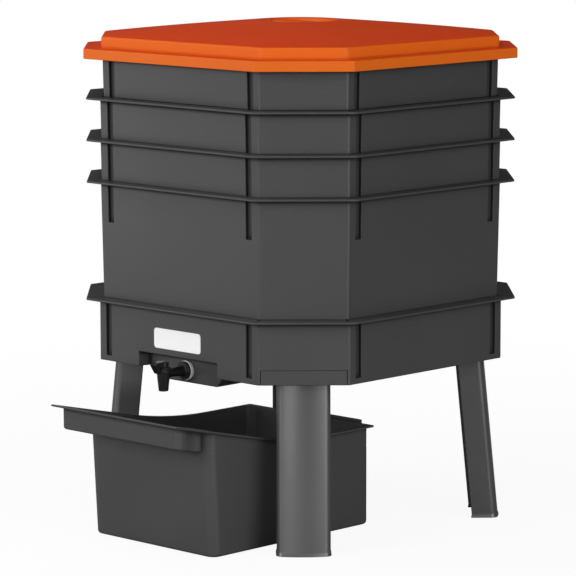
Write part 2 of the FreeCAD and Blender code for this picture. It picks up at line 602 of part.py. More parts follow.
# Lid: z = 0 is the lower edge of its skirt
def lid():
    """Lid with a skirt, a raised step, a low roof, a hand dish with a grip across it and a rest rib."""
    skirt_flat = "(tray_flat - top_inset + rim_reach + lid_gap + lid_wall)"
    skirt_corner = "(tray_corner - top_inset + rim_reach + lid_gap + lid_wall)"
    step_flat, step_corner = f"({skirt_flat} - lid_step_in)", f"({skirt_corner} - lid_step_in)"
    roof, dish_edge = "(lid_skirt + lid_step)", "(dish_radius + 2 * wall_thick)"
    peak = f"({roof} + lid_rise)"
    skirt = eight_sided("lid_skirt_block", "0", "lid_skirt", skirt_flat, skirt_corner)
    step = eight_sided("lid_step_block", "lid_skirt - wall_thick", "lid_step + wall_thick",
                       step_flat, step_corner)
    crown = doc.addObject("Part::Feature", "lid_roof_block")
    crown.Shape = low_roof(number(step_flat), number(step_corner), number(dish_edge), number(roof),
                           number(peak))
    outside = fuse("lid_outside", skirt, step, crown)

    hollow_skirt = eight_sided("lid_skirt_hollow", "-1", "lid_skirt - wall_thick + 1",
                               f"{skirt_flat} - lid_wall", f"{skirt_corner} - lid_wall")
    hollow_step = eight_sided("lid_step_hollow", "0", f"{roof} - wall_thick", f"{step_flat} - wall_thick",
                              f"{step_corner} - wall_thick")
    hollow_roof = doc.addObject("Part::Feature", "lid_roof_hollow")
    hollow_roof.Shape = low_roof(number(f"{step_flat} - wall_thick"), number(f"{step_corner} - wall_thick"),
                                 number(dish_edge), number(f"{roof} - wall_thick"),
                                 number(f"{peak} - wall_thick"))
    shell = cut("lid_shell", outside, hollow_skirt, hollow_step, hollow_roof)

    rib_flat, rib_corner = f"{step_flat} + 2 * rest_rib", f"{step_corner} + 2 * rest_rib"
    rib_block = eight_sided("lid_rib_block", "lid_drop", "lid_skirt - lid_drop - wall_thick / 2",
                            rib_flat, rib_corner)
    rib_hollow = eight_sided("lid_rib_hollow", "lid_drop - 1", "lid_skirt", f"{rib_flat} - rest_rib",
                             f"{rib_corner} - rest_rib")
    rib = cut("lid_rest_rib", rib_block, rib_hollow)
    bowl = cone("dish_bowl", "dish_floor + wall_thick", "dish_radius + wall_thick",
                "dish_depth + wall_thick", z=f"{peak} - dish_depth - wall_thick")
    dish = cone("dish_hollow", "dish_floor", "dish_radius", "dish_depth", z=f"{peak} - dish_depth")
    grip = box("dish_grip", "-dish_radius", "-grip_width / 2", f"{peak} - dish_depth - wall_thick / 2",
               "2 * dish_radius", "grip_width", "dish_depth + wall_thick / 2 - rest_rib / 2")
    body = cut("lid_dished", fuse("lid_filled", shell, rib, bowl), dish)
    finished(fuse("lid", body, grip), "lid", z=LID_BOTTOM)


def low_roof(flat, corner, top, low, high):
    """Solid from an eight-sided outline at the height low to a smaller regular one at the height high."""
    cut_back = corner * math.sqrt(2) - flat
    small = top * math.tan(math.radians(22.5))

    def ring(a, k, z):
        corners = ((a, -k), (a, k), (k, a), (-k, a), (-a, k), (-a, -k), (-k, -a), (k, -a))
        return [Vector(x, y, z) for x, y in corners]

    foot, head = ring(flat, cut_back, low), ring(top, small, high)
    faces = [Part.Face(Part.makePolygon(outline + outline[:1])) for outline in (foot, head)]
    for i in range(8):
        j = (i + 1) % 8
        faces.append(Part.Face(Part.makePolygon([foot[i], foot[j], head[j], head[i], foot[i]])))
    return Part.makeSolid(Part.makeShell(faces))


# Label and tap
def label():
    """Bare label on the sump's front wall."""
    plate = box("label_plate", "-label_width / 2", "-base_flat - label_thick", "base_bottom + label_foot",
                "label_width", "label_thick", "label_height")
    doc.recompute()
    item = doc.addObject("Part::Fillet", "label")
    item.Base = plate
    radius = number("label_round")
    item.Edges = [(i, radius, radius) for i, edge in enumerate(plate.Shape.Edges, start=1)
                  if edge.Length < 2 * number("label_thick")]
    finished(item, "label")


def tap():
    """Drain tap: body, turning core with its seal, lever, two washers and a nut."""
    washer_front = f"({PANEL} + washer_thick)"
    collar_front = f"({washer_front} + tap_collar_thick)"
    tail = cylinder("tap_tail_rod", "tap_tail", "tap_tail_length + washer_thick",
                    "0", f"-{washer_front}", TAP_AXIS, -90)
    collar = cylinder("tap_collar_disc", "tap_collar", "tap_collar_thick",
                      "0", f"-{collar_front}", TAP_AXIS, -90)
    stem = cone("tap_stem", "stem_slim", "stem_wide", f"{BARREL} - {collar_front}",
                "0", f"-{BARREL}", TAP_AXIS, -90)
    barrel = cylinder("tap_barrel", "barrel_radius", "barrel_up - barrel_down", "0", f"-{BARREL}",
                      f"{TAP_AXIS} + barrel_down")
    spout = cone("tap_spout", "spout_radius", "barrel_radius - nest_gap", "spout_drop + barrel_down", "0",
                 f"-{BARREL}", f"{TAP_AXIS} - spout_drop")
    seat = cylinder("tap_core_seat", "core_radius + core_gap", "core_drop + barrel_up + 1", "0",
                    f"-{BARREL}", f"{TAP_AXIS} - core_drop")
    mouth = cylinder("tap_mouth", "tap_bore", "spout_drop", "0", f"-{BARREL}",
                     f"{TAP_AXIS} - spout_drop - 1")
    way = cylinder("tap_way", "tap_bore", f"{BARREL} - {PANEL} + tap_tail_length + 1", "0", f"-{BARREL}",
                   TAP_AXIS, -90)
    solid = fuse("tap_solid", tail, collar, stem, barrel, spout)
    finished(cut("tap_body", solid, seat, mouth, way), "tap_body")

    rod = cylinder("core_rod", "core_radius", "core_drop + barrel_up", "0", f"-{BARREL}",
                   f"{TAP_AXIS} - core_drop")
    spindle = box("core_spindle", "-spindle_side / 2", f"-{BARREL} - spindle_side / 2",
                  f"{TAP_AXIS} + barrel_up - 1", "spindle_side", "spindle_side", "spindle_height + 1")
    port = cylinder("core_port", "core_bore", "core_radius + 1", "0", f"-{BARREL}", TAP_AXIS)
    port.Placement = FreeCAD.Placement(port.Placement.Base, Rotation(Vector(0, 1, 0), -90))
    drain = cylinder("core_drain", "core_bore", "core_drop + 1", "0", f"-{BARREL}",
                     f"{TAP_AXIS} - core_drop - 1")
    seal_level = f"({TAP_AXIS} + barrel_up - 3 * seal_radius - 1)"
    groove_disc = cylinder("seal_groove_disc", "core_radius + 1", "2 * seal_radius + 2 * core_gap", "0",
                           f"-{BARREL}", f"{seal_level} - seal_radius - core_gap")
    groove_core = cylinder("seal_groove_core", "core_radius - 2 * seal_radius", "4 * seal_radius", "0",
                           f"-{BARREL}", f"{seal_level} - 2 * seal_radius")
    groove = cut("seal_groove", groove_disc, groove_core)
    finished(cut("tap_core", fuse("core_solid", rod, spindle), port, drain, groove), "tap_core")

    seal = doc.addObject("Part::Torus", "core_seal")
    bind(seal, Radius1="core_radius - seal_radius", Radius2="seal_radius")
    finished(seal, "core_seal", y=f"{STACK_BACK} - {BARREL}", z=seal_level)

    lever_foot = f"({TAP_AXIS} + barrel_up + lever_gap)"
    body = new_body("tap_lever")
    sketch = new_sketch(body, "lever_boss_outline", offset=lever_foot)
    circle = sketch.addGeometry(Part.Circle(Vector(0, -number(BARREL), 0), Vector(0, 0, 1),
                                            number("lever_radius")), False)
    pin(sketch, circle, 3, "0", f"-{BARREL}")
    index = sketch.addConstraint(Sketcher.Constraint("Radius", circle, number("lever_radius")))
    sketch.setExpression(f"Constraints[{index}]", spelled("lever_radius"))
    feature(body, "Pad", "lever_boss", sketch, "lever_height")
    sketch = new_sketch(body, "lever_thumb_outline", "YZ_Plane")
    tip, top = f"-{BARREL} - lever_reach", f"{lever_foot} + lever_height"
    polygon(sketch, [(f"-{BARREL}", lever_foot), (f"{tip} + lever_height * 0.7", lever_foot),
                     (tip, f"{top} - lever_height * 0.4"), (f"{tip} + lever_height / 5", f"{top} + 1"),
                     (f"-{BARREL}", top)])
    feature(body, "Pad", "lever_thumb", sketch, "lever_width", SideType="Symmetric")
    sketch = new_sketch(body, "lever_socket_outline", offset=lever_foot)
    side = "(spindle_side / 2 + core_gap)"
    rectangle(sketch, f"-{side}", side, f"-{BARREL} - {side}", f"-{BARREL} + {side}")
    feature(body, "Pocket", "lever_socket", sketch, "spindle_height", Reversed=True)
    finished(body, "tap_lever")

    for name, radius, thick, front in (
            ("tap_washer_outer", "washer_radius", "washer_thick", washer_front),
            ("tap_washer_inner", "inner_washer_radius", "inner_washer_thick", f"({PANEL} - base_wall)")):
        disc = cylinder(name + "_disc", radius, thick, "0", f"-{front}", TAP_AXIS, -90)
        hole = cylinder(name + "_hole", "tap_tail + tap_hole_gap", f"3 * {thick}", "0",
                        f"-{front} - {thick}", TAP_AXIS, -90)
        finished(cut(name, disc, hole), name)

    nut_front = f"({PANEL} - base_wall - inner_washer_thick)"
    hexagon = doc.addObject("Part::Prism", "nut_block")
    hexagon.Polygon = 6
    bind(hexagon, Circumradius="nut_flats / sqrt(3)", Height="nut_thick")
    stand(hexagon, "0", f"-{nut_front}", TAP_AXIS, 0, -90)
    hexagon.Placement = FreeCAD.Placement(hexagon.Placement.Base, Rotation(0, 0, -90))
    thread = cylinder("nut_thread", "tap_tail", "3 * nut_thick", "0", f"-{nut_front} - nut_thick",
                      TAP_AXIS, -90)
    finished(cut("tap_nut", hexagon, thread), "tap_nut")


# Collecting tub: x is across it, y = 0 is the stack's axis
def rim_line(sketch, start, end, level, lift):
    """Level line, climbing arc and ramp from y = start to y = -end, lifted by lift, with their numbers."""
    ramp = math.radians(number("tub_ramp"))
    radius_formula = f"(tub_bend_radius - ({lift}))"
    radius = number(radius_formula)
    z_low, bend = number(level) + number(lift), -number("tub_bend")
    top = Vector(bend, z_low, 0)
    arc_end = Vector(bend - radius * math.sin(ramp), z_low + radius * (1 - math.cos(ramp)), 0)
    last = Vector(-number(end), arc_end.y + (number(end) + arc_end.x) * math.tan(ramp), 0)
    flat = sketch.addGeometry(Part.LineSegment(Vector(number(start), z_low, 0), top), False)
    centre = Vector(bend, z_low + radius, 0)
    curve = sketch.addGeometry(Part.ArcOfCircle(Part.Circle(centre, Vector(0, 0, 1), radius),
                                                math.radians(270) - ramp, math.radians(270)), False)
    slope = sketch.addGeometry(Part.LineSegment(arc_end, last), False)
    pin(sketch, flat, 1, start, f"{level} + ({lift})")
    sketch.addConstraint(Sketcher.Constraint("Horizontal", flat))
    pin(sketch, flat, 2, "-tub_bend")
    sketch.addConstraint(Sketcher.Constraint("Tangent", flat, 2, curve, 2))
    sketch.addConstraint(Sketcher.Constraint("Tangent", curve, 1, slope, 1))
    index = sketch.addConstraint(Sketcher.Constraint("Radius", curve, radius))
    sketch.setExpression(f"Constraints[{index}]", spelled(radius_formula))
    pin(sketch, slope, 2, f"-({end})")
    rise = f"(tub_bend_radius - ({lift})) * (1 - cos(tub_ramp))"
    run = f"(({end}) - tub_bend - (tub_bend_radius - ({lift})) * sin(tub_ramp)) * tan(tub_ramp)"
    pin(sketch, slope, 2, None, f"{level} + ({lift}) + {rise} + {run}")
    return flat, slope


def close_outline(sketch, flat, slope, corners):
    """Close a rim line with straight lines through corners, from its front end back to its start."""
    spots = [sketch.getPoint(slope, 2)] + [Vector(number(x), number(y), 0) for x, y in corners]
    spots.append(sketch.getPoint(flat, 1))
    previous = slope
    for i in range(len(spots) - 1):
        line = sketch.addGeometry(Part.LineSegment(spots[i], spots[i + 1]), False)
        sketch.addConstraint(Sketcher.Constraint("Coincident", previous, 2, line, 1))
        if i:
            pin(sketch, line, 1, *corners[i - 1])
        previous = line
    sketch.addConstraint(Sketcher.Constraint("Coincident", previous, 2, flat, 1))


def collecting_tub():
    """Tub with rounded uprights, a rim that climbs to the front and a chute under the tap."""
    body = new_body("collecting_tub")
    above = "(2 * tub_rim_height)"

    sketch = new_sketch(body, "chute_side", "YZ_Plane")
    flat, slope = rim_line(sketch, "-tub_bend + 1", CHUTE_FRONT, "tub_rim_height", "0")
    close_outline(sketch, flat, slope,
                  [(f"-{CHUTE_FRONT}", "chute_floor"), ("-tub_front + tub_round", "chute_floor"),
                   ("-tub_front + tub_round", "tub_rim_height - tub_round"),
                   ("-tub_bend + 1", "tub_rim_height - tub_round")])
    block = feature(body, "Pad", "chute_block", sketch, f"2 * {CHUTE_HALF}", SideType="Symmetric")
    round_edges(body, "chute_rounded", block, "chute_round",
                lambda e: is_upright(e) and abs(e.CenterOfMass.y + number(CHUTE_FRONT)) < 0.1)
    sketch = new_sketch(body, "chute_waist_outline")
    taper_start = f"-{CHUTE_FRONT} + chute_round + chute_inset"
    for side in ("", "-"):
        outside, waist = f"{side}(tub_half + chute_inset)", f"{side}{CHUTE_WAIST}"
        polygon(sketch, [(f"{side}{CHUTE_HALF}", taper_start), (waist, "-tub_front"),
                         (waist, "-tub_bend + 2"), (outside, "-tub_bend + 2"), (outside, taper_start)])
    feature(body, "Pocket", "chute_waist", sketch, above, Reversed=True)

    sketch = new_sketch(body, "tub_side", "YZ_Plane")
    flat, slope = rim_line(sketch, "tub_back", "tub_front", "tub_rim_height", "0")
    close_outline(sketch, flat, slope, [("-tub_front", "0"), ("tub_back", "0")])
    block = feature(body, "Pad", "tub_block", sketch, "2 * tub_half", SideType="Symmetric")
    round_edges(body, "tub_rounded", block, "tub_round",
                lambda e: is_upright(e) and abs(abs(e.CenterOfMass.x) - number("tub_half")) < 0.1
                and e.Length > number("chute_floor") / 2)

    sketch = new_sketch(body, "rim_side", "YZ_Plane")
    flat, slope = rim_line(sketch, TUB_RIM_BACK, TUB_RIM_FRONT, "tub_rim_height", "0")
    under_flat, under_slope = rim_line(sketch, TUB_RIM_BACK, TUB_RIM_FRONT, "tub_rim_height",
                                       "-tub_rim_thick")
    for a, b in (((slope, 2), (under_slope, 2)), ((flat, 1), (under_flat, 1))):
        line = sketch.addGeometry(Part.LineSegment(sketch.getPoint(*a), sketch.getPoint(*b)), False)
        sketch.addConstraint(Sketcher.Constraint("Coincident", line, 1, *a))
        sketch.addConstraint(Sketcher.Constraint("Coincident", line, 2, *b))
    feature(body, "Pad", "tub_rim", sketch, "2 * (tub_half + tub_rim_side)", SideType="Symmetric")

    sketch = new_sketch(body, "upstand_outline", offset="tub_rim_height - tub_rim_thick / 2")
    rectangle(sketch, "-upstand_half", "upstand_half", f"{TUB_RIM_BACK} - wall_thick", TUB_RIM_BACK)
    feature(body, "Pad", "upstand", sketch, "upstand_height + tub_rim_thick / 2")

    sketch = new_sketch(body, "tub_inside", offset="wall_thick")
    inner_half, inner_round = "(tub_half - wall_thick)", "(tub_round - wall_thick)"
    front, back = "-tub_front + wall_thick", "tub_back - wall_thick"
    rounded_rectangle(sketch, inner_half, front, back, inner_round)
    feature(body, "Pocket", "tub_hollow", sketch, above, Reversed=True)
    sketch = new_sketch(body, "chute_inside", offset="chute_floor + wall_thick")
    half, waist = f"({CHUTE_HALF} - wall_thick)", f"({CHUTE_WAIST} - wall_thick)"
    nose, bend = f"-{CHUTE_FRONT} + wall_thick", f"-{CHUTE_FRONT} + chute_round + chute_inset"
    polygon(sketch, [(f"-{waist}", "-tub_front + 2 * tub_round"), (f"-{waist}", "-tub_front"),
                     (f"-{half}", bend), (f"-{half}", f"-{CHUTE_FRONT} + chute_round"),
                     (f"-{half} + chute_round - wall_thick", nose),
                     (f"{half} - chute_round + wall_thick", nose),
                     (half, f"-{CHUTE_FRONT} + chute_round"), (half, bend),
                     (waist, "-tub_front"), (waist, "-tub_front + 2 * tub_round")])
    feature(body, "Pocket", "chute_hollow", sketch, above, Reversed=True)
    finished(body, "collecting_tub")


def rounded_rectangle(sketch, half, front, back, radius):
    """Rectangle half wide on each side of the y axis with four round corners."""
    h, f, b, r = number(half), number(front), number(back), number(radius)
    ends = [(-h + r, f, h - r, f), (h, f + r, h, b - r), (h - r, b, -h + r, b), (-h, b - r, -h, f + r)]
    middles = [(h - r, f + r), (h - r, b - r), (-h + r, b - r), (-h + r, f + r)]
    lines = [sketch.addGeometry(Part.LineSegment(Vector(x1, y1, 0), Vector(x2, y2, 0)), False)
             for x1, y1, x2, y2 in ends]
    arcs = []
    for i, (x, y) in enumerate(middles):
        circle = Part.Circle(Vector(x, y, 0), Vector(0, 0, 1), r)
        quarter = Part.ArcOfCircle(circle, math.radians(90 * i - 90), math.radians(90 * i))
        arcs.append(sketch.addGeometry(quarter, False))
    for i in range(4):
        sketch.addConstraint(Sketcher.Constraint("Tangent", lines[i], 2, arcs[i], 1))
        sketch.addConstraint(Sketcher.Constraint("Tangent", arcs[i], 2, lines[(i + 1) % 4], 1))
        if i:
            sketch.addConstraint(Sketcher.Constraint("Equal", arcs[0], arcs[i]))
    index = sketch.addConstraint(Sketcher.Constraint("Radius", arcs[0], r))
    sketch.setExpression(f"Constraints[{index}]", spelled(radius))
    pin(sketch, lines[0], 1, f"-{half} + {radius}", front)
    pin(sketch, lines[1], 1, half, f"{front} + {radius}")
    pin(sketch, lines[2], 1, f"{half} - {radius}", back)
    pin(sketch, lines[3], 1, f"-{half}", f"{back} - {radius}")


lid()
nesting_tray("tray_top", "top_inset", f"{DEEP_RIM} + 3 * tray_pitch")
nesting_tray("tray_upper", "0", f"{DEEP_RIM} + 2 * tray_pitch")
nesting_tray("tray_lower", "0", f"{DEEP_RIM} + tray_pitch")
deep_tray("tray_bottom")
sump_base()
for corner_side, corner_turn in LEG_TURNS.items():
    leg(corner_side, corner_turn)
    leg_socket(corner_side, corner_turn)
label()
tap()
collecting_tub()
doc.recompute()

faulty = [item.Name for item in doc.Objects if "Invalid" in item.State or "Error" in item.State]
if faulty:
    raise RuntimeError("failed objects: " + ", ".join(faulty))
for item in NODES:
    if item.Shape.isNull() or not item.Shape.isValid() or len(item.Shape.Solids) != 1:
        raise RuntimeError(f"{item.Label}: null, invalid or not one solid ({len(item.Shape.Solids)})")

os.makedirs("parts", exist_ok=True)
for item in NODES:
    item.Shape.exportStep(f"parts/{item.Label}.step")
    size = item.Shape.BoundBox
    print(f"{item.Label}: {item.Shape.Volume / 1000:.1f} cm3, z {size.ZMin:.1f} to {size.ZMax:.1f}")
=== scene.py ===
"""Looks of a stacking tray wormery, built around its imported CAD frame.

Shapes are worked out in millimetres about the stack's own upright axis, with z = 0 on the floor, the
tap's wall facing -Y and the right wall facing +X. The bench turns them into the row frame in metres.
A flat distance runs from the axis to one of the four walls, a corner distance to a cut-off corner.
"""
import logging
import math
from dataclasses import dataclass, field, replace
from enum import Enum

import bmesh
import bpy
import numpy as np
from mathutils import Matrix, Vector

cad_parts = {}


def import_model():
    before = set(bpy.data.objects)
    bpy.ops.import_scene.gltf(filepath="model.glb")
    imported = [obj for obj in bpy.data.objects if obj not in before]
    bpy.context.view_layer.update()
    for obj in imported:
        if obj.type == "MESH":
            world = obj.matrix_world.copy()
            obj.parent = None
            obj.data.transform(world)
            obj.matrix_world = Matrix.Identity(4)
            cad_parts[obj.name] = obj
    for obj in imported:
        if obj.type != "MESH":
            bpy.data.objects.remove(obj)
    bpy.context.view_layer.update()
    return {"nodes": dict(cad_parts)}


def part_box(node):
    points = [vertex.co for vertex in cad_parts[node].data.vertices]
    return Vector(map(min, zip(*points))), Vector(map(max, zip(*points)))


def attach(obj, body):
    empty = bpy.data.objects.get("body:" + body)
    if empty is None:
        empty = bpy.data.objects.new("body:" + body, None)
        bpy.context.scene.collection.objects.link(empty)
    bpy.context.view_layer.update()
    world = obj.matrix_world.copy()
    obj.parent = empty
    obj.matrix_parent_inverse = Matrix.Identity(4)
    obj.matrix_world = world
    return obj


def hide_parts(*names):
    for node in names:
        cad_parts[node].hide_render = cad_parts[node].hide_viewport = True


LOG = logging.getLogger("wormery")
MM = 0.001
WHOLE_TURN = 2 * math.pi
QUARTER = math.pi / 2
EIGHTH = math.pi / 4
COS_EIGHTH = math.cos(EIGHTH)
# In millimetres: points nearer than this are one point, and an edge shorter than this is none
SAME_POINT = 0.004
NO_LENGTH = 0.002
# The smallest radius or flat in millimetres, so that a shape never closes to a single point
SLIVER = 0.01


class Body(Enum):
    """Bodies of the frame that the pieces ride on."""

    STAND = "stand"
    BOTTOM_TRAY = "bottom_tray"
    LOWER_TRAY = "lower_tray"
    UPPER_TRAY = "upper_tray"
    TOP_TRAY = "top_tray"
    COVER = "cover"
    VALVE = "valve"
    TUB = "tub"


class Carve(Enum):
    """Ways in which one closed mesh works on another."""

    JOIN = "UNION"
    CUT = "DIFFERENCE"


class LegSide(Enum):
    """The four legs, with the turn of each one's outward direction in degrees."""

    FRONT = -45.0
    RIGHT = 45.0
    BACK = 135.0
    LEFT = -135.0

    @property
    def word(self) -> str:
        """Name of the side as the frame spells it."""
        return self.name.lower()


def linear(code: str) -> tuple[float, float, float, float]:
    """Turn an sRGB hex value into linear RGBA.

    Args:
        code: colour such as "#4b4b4b".

    Returns:
        Linear red, green and blue, and an alpha of one.
    """
    values = np.array([int(code[i:i + 2], 16) for i in (1, 3, 5)]) / 255.0
    curve = np.where(values <= 0.04045, values / 12.92, ((values + 0.055) / 1.055) ** 2.4)
    return (float(curve[0]), float(curve[1]), float(curve[2]), 1.0)


def add_node(tree: bpy.types.NodeTree, kind: str, inputs: dict | None = None, **settings) -> bpy.types.Node:
    """Add one shader node with its settings and its links.

    Args:
        tree: node tree that gets the node.
        kind: Blender's type name of the node.
        inputs: values or output sockets for the node's inputs, by name or number.
        settings: properties of the node.

    Returns:
        The new node.
    """
    node = tree.nodes.new(kind)
    for name, value in settings.items():
        setattr(node, name, value)
    for name, value in (inputs or {}).items():
        if isinstance(value, bpy.types.NodeSocket):
            tree.links.new(value, node.inputs[name])
        else:
            node.inputs[name].default_value = value
    return node


def new_material(name: str) -> tuple[bpy.types.Material, bpy.types.NodeTree, bpy.types.Node]:
    """Start an empty material.

    Args:
        name: name of the material.

    Returns:
        The material, its node tree and its output node.
    """
    material = bpy.data.materials.new(name)
    material.use_nodes = True
    tree = material.node_tree
    tree.nodes.clear()
    return material, tree, add_node(tree, "ShaderNodeOutputMaterial")


@dataclass(frozen=True)
class MouldedPlastic:
    """Injection moulded polypropylene: satin, with the fine grain of a spark eroded mould.

    The grain breaks the highlights into a soft sheen, the flow of the melt clouds the colour and the
    gloss a little over a hand's width, and handling leaves short pale rubs. Grooves and inner corners
    get painted shade, darker and rougher the deeper they lie. Faces that look up take a darker, redder
    roof colour as painted shade where one is given. Sizes are in millimetres, and each pair of numbers
    is the stretch of a pattern's values that shows.
    """

    name: str
    colour: str
    cloud_colour: str
    roughness: float = 0.42
    roughness_swing: float = 0.05
    ior: float = 1.49
    grain_size: float = 1.4
    grain_height: float = 0.035
    flow_size: float = 120.0
    flow_height: float = 0.25
    flow_reach: tuple[float, float] = (0.3, 0.7)
    rub_colour: str = "#8a8a8a"
    rub_share: float = 0.10
    rub_size: float = 22.22
    rub_turn: tuple[float, float, float] = (0.35, 0.6, 0.9)
    rub_stretch: float = 7.0
    rub_peaks: tuple[float, float] = (0.62, 0.8)
    sheen: float = 0.5
    # Painted shade: a darker, redder colour that the faces looking up take on the roof
    roof_shade_colour: str = ""
    crown_slope: tuple[float, float] = (0.55, 0.95)
    # Painted shade in grooves and inner corners: ambient occlusion darkens the colour and adds roughness
    crevice_reach: tuple[float, float] = (0.78, 0.97)
    crevice_depth: float = 7.0
    crevice_shade_darkest: float = 0.12
    crevice_roughness: float = 0.45

    def make(self) -> bpy.types.Material:
        """Build the node material.

        Returns:
            The finished material.
        """
        material, tree, output = new_material(self.name)
        place = add_node(tree, "ShaderNodeTexCoord").outputs["Object"]
        flow = add_node(tree, "ShaderNodeTexNoise", {
            "Vector": place, "Scale": 1 / (self.flow_size * MM), "Detail": 3.0, "Roughness": 0.55})
        colour = add_node(tree, "ShaderNodeMix", {
            "Factor": flow.outputs["Fac"], 6: linear(self.colour), 7: linear(self.cloud_colour)},
            data_type="RGBA")
        # The roof's painted shade colour goes under the rubs
        rubbed, rubs = self.rubs(tree, place, self.painted_roof_shade(tree, colour.outputs[2]))
        # Painted shade: ambient occlusion darkens the colour of grooves and inner corners
        painted_shade_share, crevice_roughening = self.painted_crevice_shade(tree)
        shaded_colour = add_node(tree, "ShaderNodeVectorMath", {0: rubbed, "Scale": painted_shade_share}, operation="SCALE")
        gloss = add_node(tree, "ShaderNodeMapRange", {
            "Value": flow.outputs["Fac"], "From Min": self.flow_reach[0], "From Max": self.flow_reach[1],
            "To Min": self.roughness - self.roughness_swing,
            "To Max": self.roughness + self.roughness_swing})
        handled = add_node(tree, "ShaderNodeMath", {0: gloss.outputs["Result"], 1: rubs}, operation="ADD")
        roughness = add_node(tree, "ShaderNodeMath", {0: handled.outputs[0], 1: crevice_roughening}, operation="ADD")
        # The real grain is a few tenths of a millimetre; it is drawn about four times coarser to show
        grain = add_node(tree, "ShaderNodeTexNoise", {
            "Vector": place, "Scale": 1 / (self.grain_size * MM), "Detail": 2.0, "Roughness": 0.6})
        waves = add_node(tree, "ShaderNodeBump", {
            "Height": flow.outputs["Fac"], "Strength": 1.0, "Distance": self.flow_height * MM})
        bump = add_node(tree, "ShaderNodeBump", {
            "Height": grain.outputs["Fac"], "Strength": 1.0, "Distance": self.grain_height * MM,
            "Normal": waves.outputs["Normal"]})
        shader = add_node(tree, "ShaderNodeBsdfPrincipled", {
            "Base Color": shaded_colour.outputs["Vector"], "Roughness": roughness.outputs[0], "IOR": self.ior,
            "Specular IOR Level": self.sheen, "Normal": bump.outputs["Normal"]})
        tree.links.new(shader.outputs["BSDF"], output.inputs["Surface"])
        return material

    def painted_crevice_shade(self, tree: bpy.types.NodeTree) -> tuple[bpy.types.NodeSocket, bpy.types.NodeSocket]:
        """Painted shade of grooves and inner corners: darker and duller the deeper a point lies in its piece.

        Args:
            tree: node tree of the material.

        Returns:
            The share of the colour that the painted shade leaves, one on open faces, and what it adds to the
            roughness.
        """
        # Ambient occlusion within the piece, painted into the colour as shade
        reach = add_node(tree, "ShaderNodeAmbientOcclusion", {"Distance": self.crevice_depth * MM},
                         only_local=True, samples=8).outputs["AO"]
        shut, open_face = self.crevice_reach
        left, crevice_roughening = (add_node(tree, "ShaderNodeMapRange", {
            "Value": reach, "From Min": shut, "From Max": open_face, "To Min": deep, "To Max": bare})
            for deep, bare in ((self.crevice_shade_darkest, 1.0), (self.crevice_roughness, 0.0)))
        return left.outputs["Result"], crevice_roughening.outputs["Result"]

    def painted_roof_shade(self, tree: bpy.types.NodeTree, colour: bpy.types.NodeSocket) -> bpy.types.NodeSocket:
        """Paint shade on the roof: mix a darker, redder colour in where the surface looks up.

        Args:
            tree: node tree of the material.
            colour: colour of the upright faces.

        Returns:
            The colour with the painted shade, or the plain one where no roof shade colour is given.
        """
        if not self.roof_shade_colour:
            return colour
        normal = add_node(tree, "ShaderNodeSeparateXYZ", {
            0: add_node(tree, "ShaderNodeNewGeometry").outputs["Normal"]})
        share = add_node(tree, "ShaderNodeMapRange", {
            "Value": normal.outputs["Z"], "From Min": self.crown_slope[0],
            "From Max": self.crown_slope[1]})
        mixed = add_node(tree, "ShaderNodeMix", {
            "Factor": share.outputs["Result"], 6: colour, 7: linear(self.roof_shade_colour)}, data_type="RGBA")
        return mixed.outputs[2]

    def rubs(self, tree: bpy.types.NodeTree, place: bpy.types.NodeSocket,
             colour: bpy.types.NodeSocket) -> tuple[bpy.types.NodeSocket, bpy.types.NodeSocket]:
        """Short pale rubs: stretched noise that shows only at its peaks, broken up by larger noise.

        Args:
            tree: node tree of the material.
            place: object coordinates.
            colour: colour under the rubs.

        Returns:
            The colour with the rubs, and what they add to the roughness.
        """
        stretch = add_node(tree, "ShaderNodeMapping", {
            "Vector": place, "Rotation": self.rub_turn, "Scale": (1.0, 1.0, self.rub_stretch)})
        streak = add_node(tree, "ShaderNodeTexNoise", {
            "Vector": stretch.outputs["Vector"], "Scale": 1 / (self.rub_size * MM), "Detail": 4.0,
            "Roughness": 0.62})
        peaks = add_node(tree, "ShaderNodeMapRange", {
            "Value": streak.outputs["Fac"], "From Min": self.rub_peaks[0], "From Max": self.rub_peaks[1],
            "To Min": 0.0, "To Max": self.rub_share})
        mixed = add_node(tree, "ShaderNodeMix", {
            "Factor": peaks.outputs["Result"], 6: colour, 7: linear(self.rub_colour)}, data_type="RGBA")
        return mixed.outputs[2], peaks.outputs["Result"]


@dataclass(frozen=True)
class LabelFilm:
    """White vinyl film: smooth and slightly glossy, with the faint ripple of a hand-laid sticker."""

    name: str = "white_vinyl_film"
    colour: str = "#fcfcfc"
    edge_colour: str = "#ffffff"
    roughness: float = 0.3
    ior: float = 1.5
    ripple_size: float = 18.0
    ripple_height: float = 0.08

    def make(self) -> bpy.types.Material:
        """Build the node material.

        Returns:
            The finished material.
        """
        material, tree, output = new_material(self.name)
        place = add_node(tree, "ShaderNodeTexCoord").outputs["Object"]
        ripple = add_node(tree, "ShaderNodeTexNoise", {
            "Vector": place, "Scale": 1 / (self.ripple_size * MM), "Detail": 2.0})
        colour = add_node(tree, "ShaderNodeMix", {
            "Factor": ripple.outputs["Fac"], 6: linear(self.colour), 7: linear(self.edge_colour)},
            data_type="RGBA")
        bump = add_node(tree, "ShaderNodeBump", {
            "Height": ripple.outputs["Fac"], "Strength": 0.6, "Distance": self.ripple_height * MM})
        shader = add_node(tree, "ShaderNodeBsdfPrincipled", {
            "Base Color": colour.outputs[2], "Roughness": self.roughness, "IOR": self.ior,
            "Normal": bump.outputs["Normal"]})
        tree.links.new(shader.outputs["BSDF"], output.inputs["Surface"])
        return material


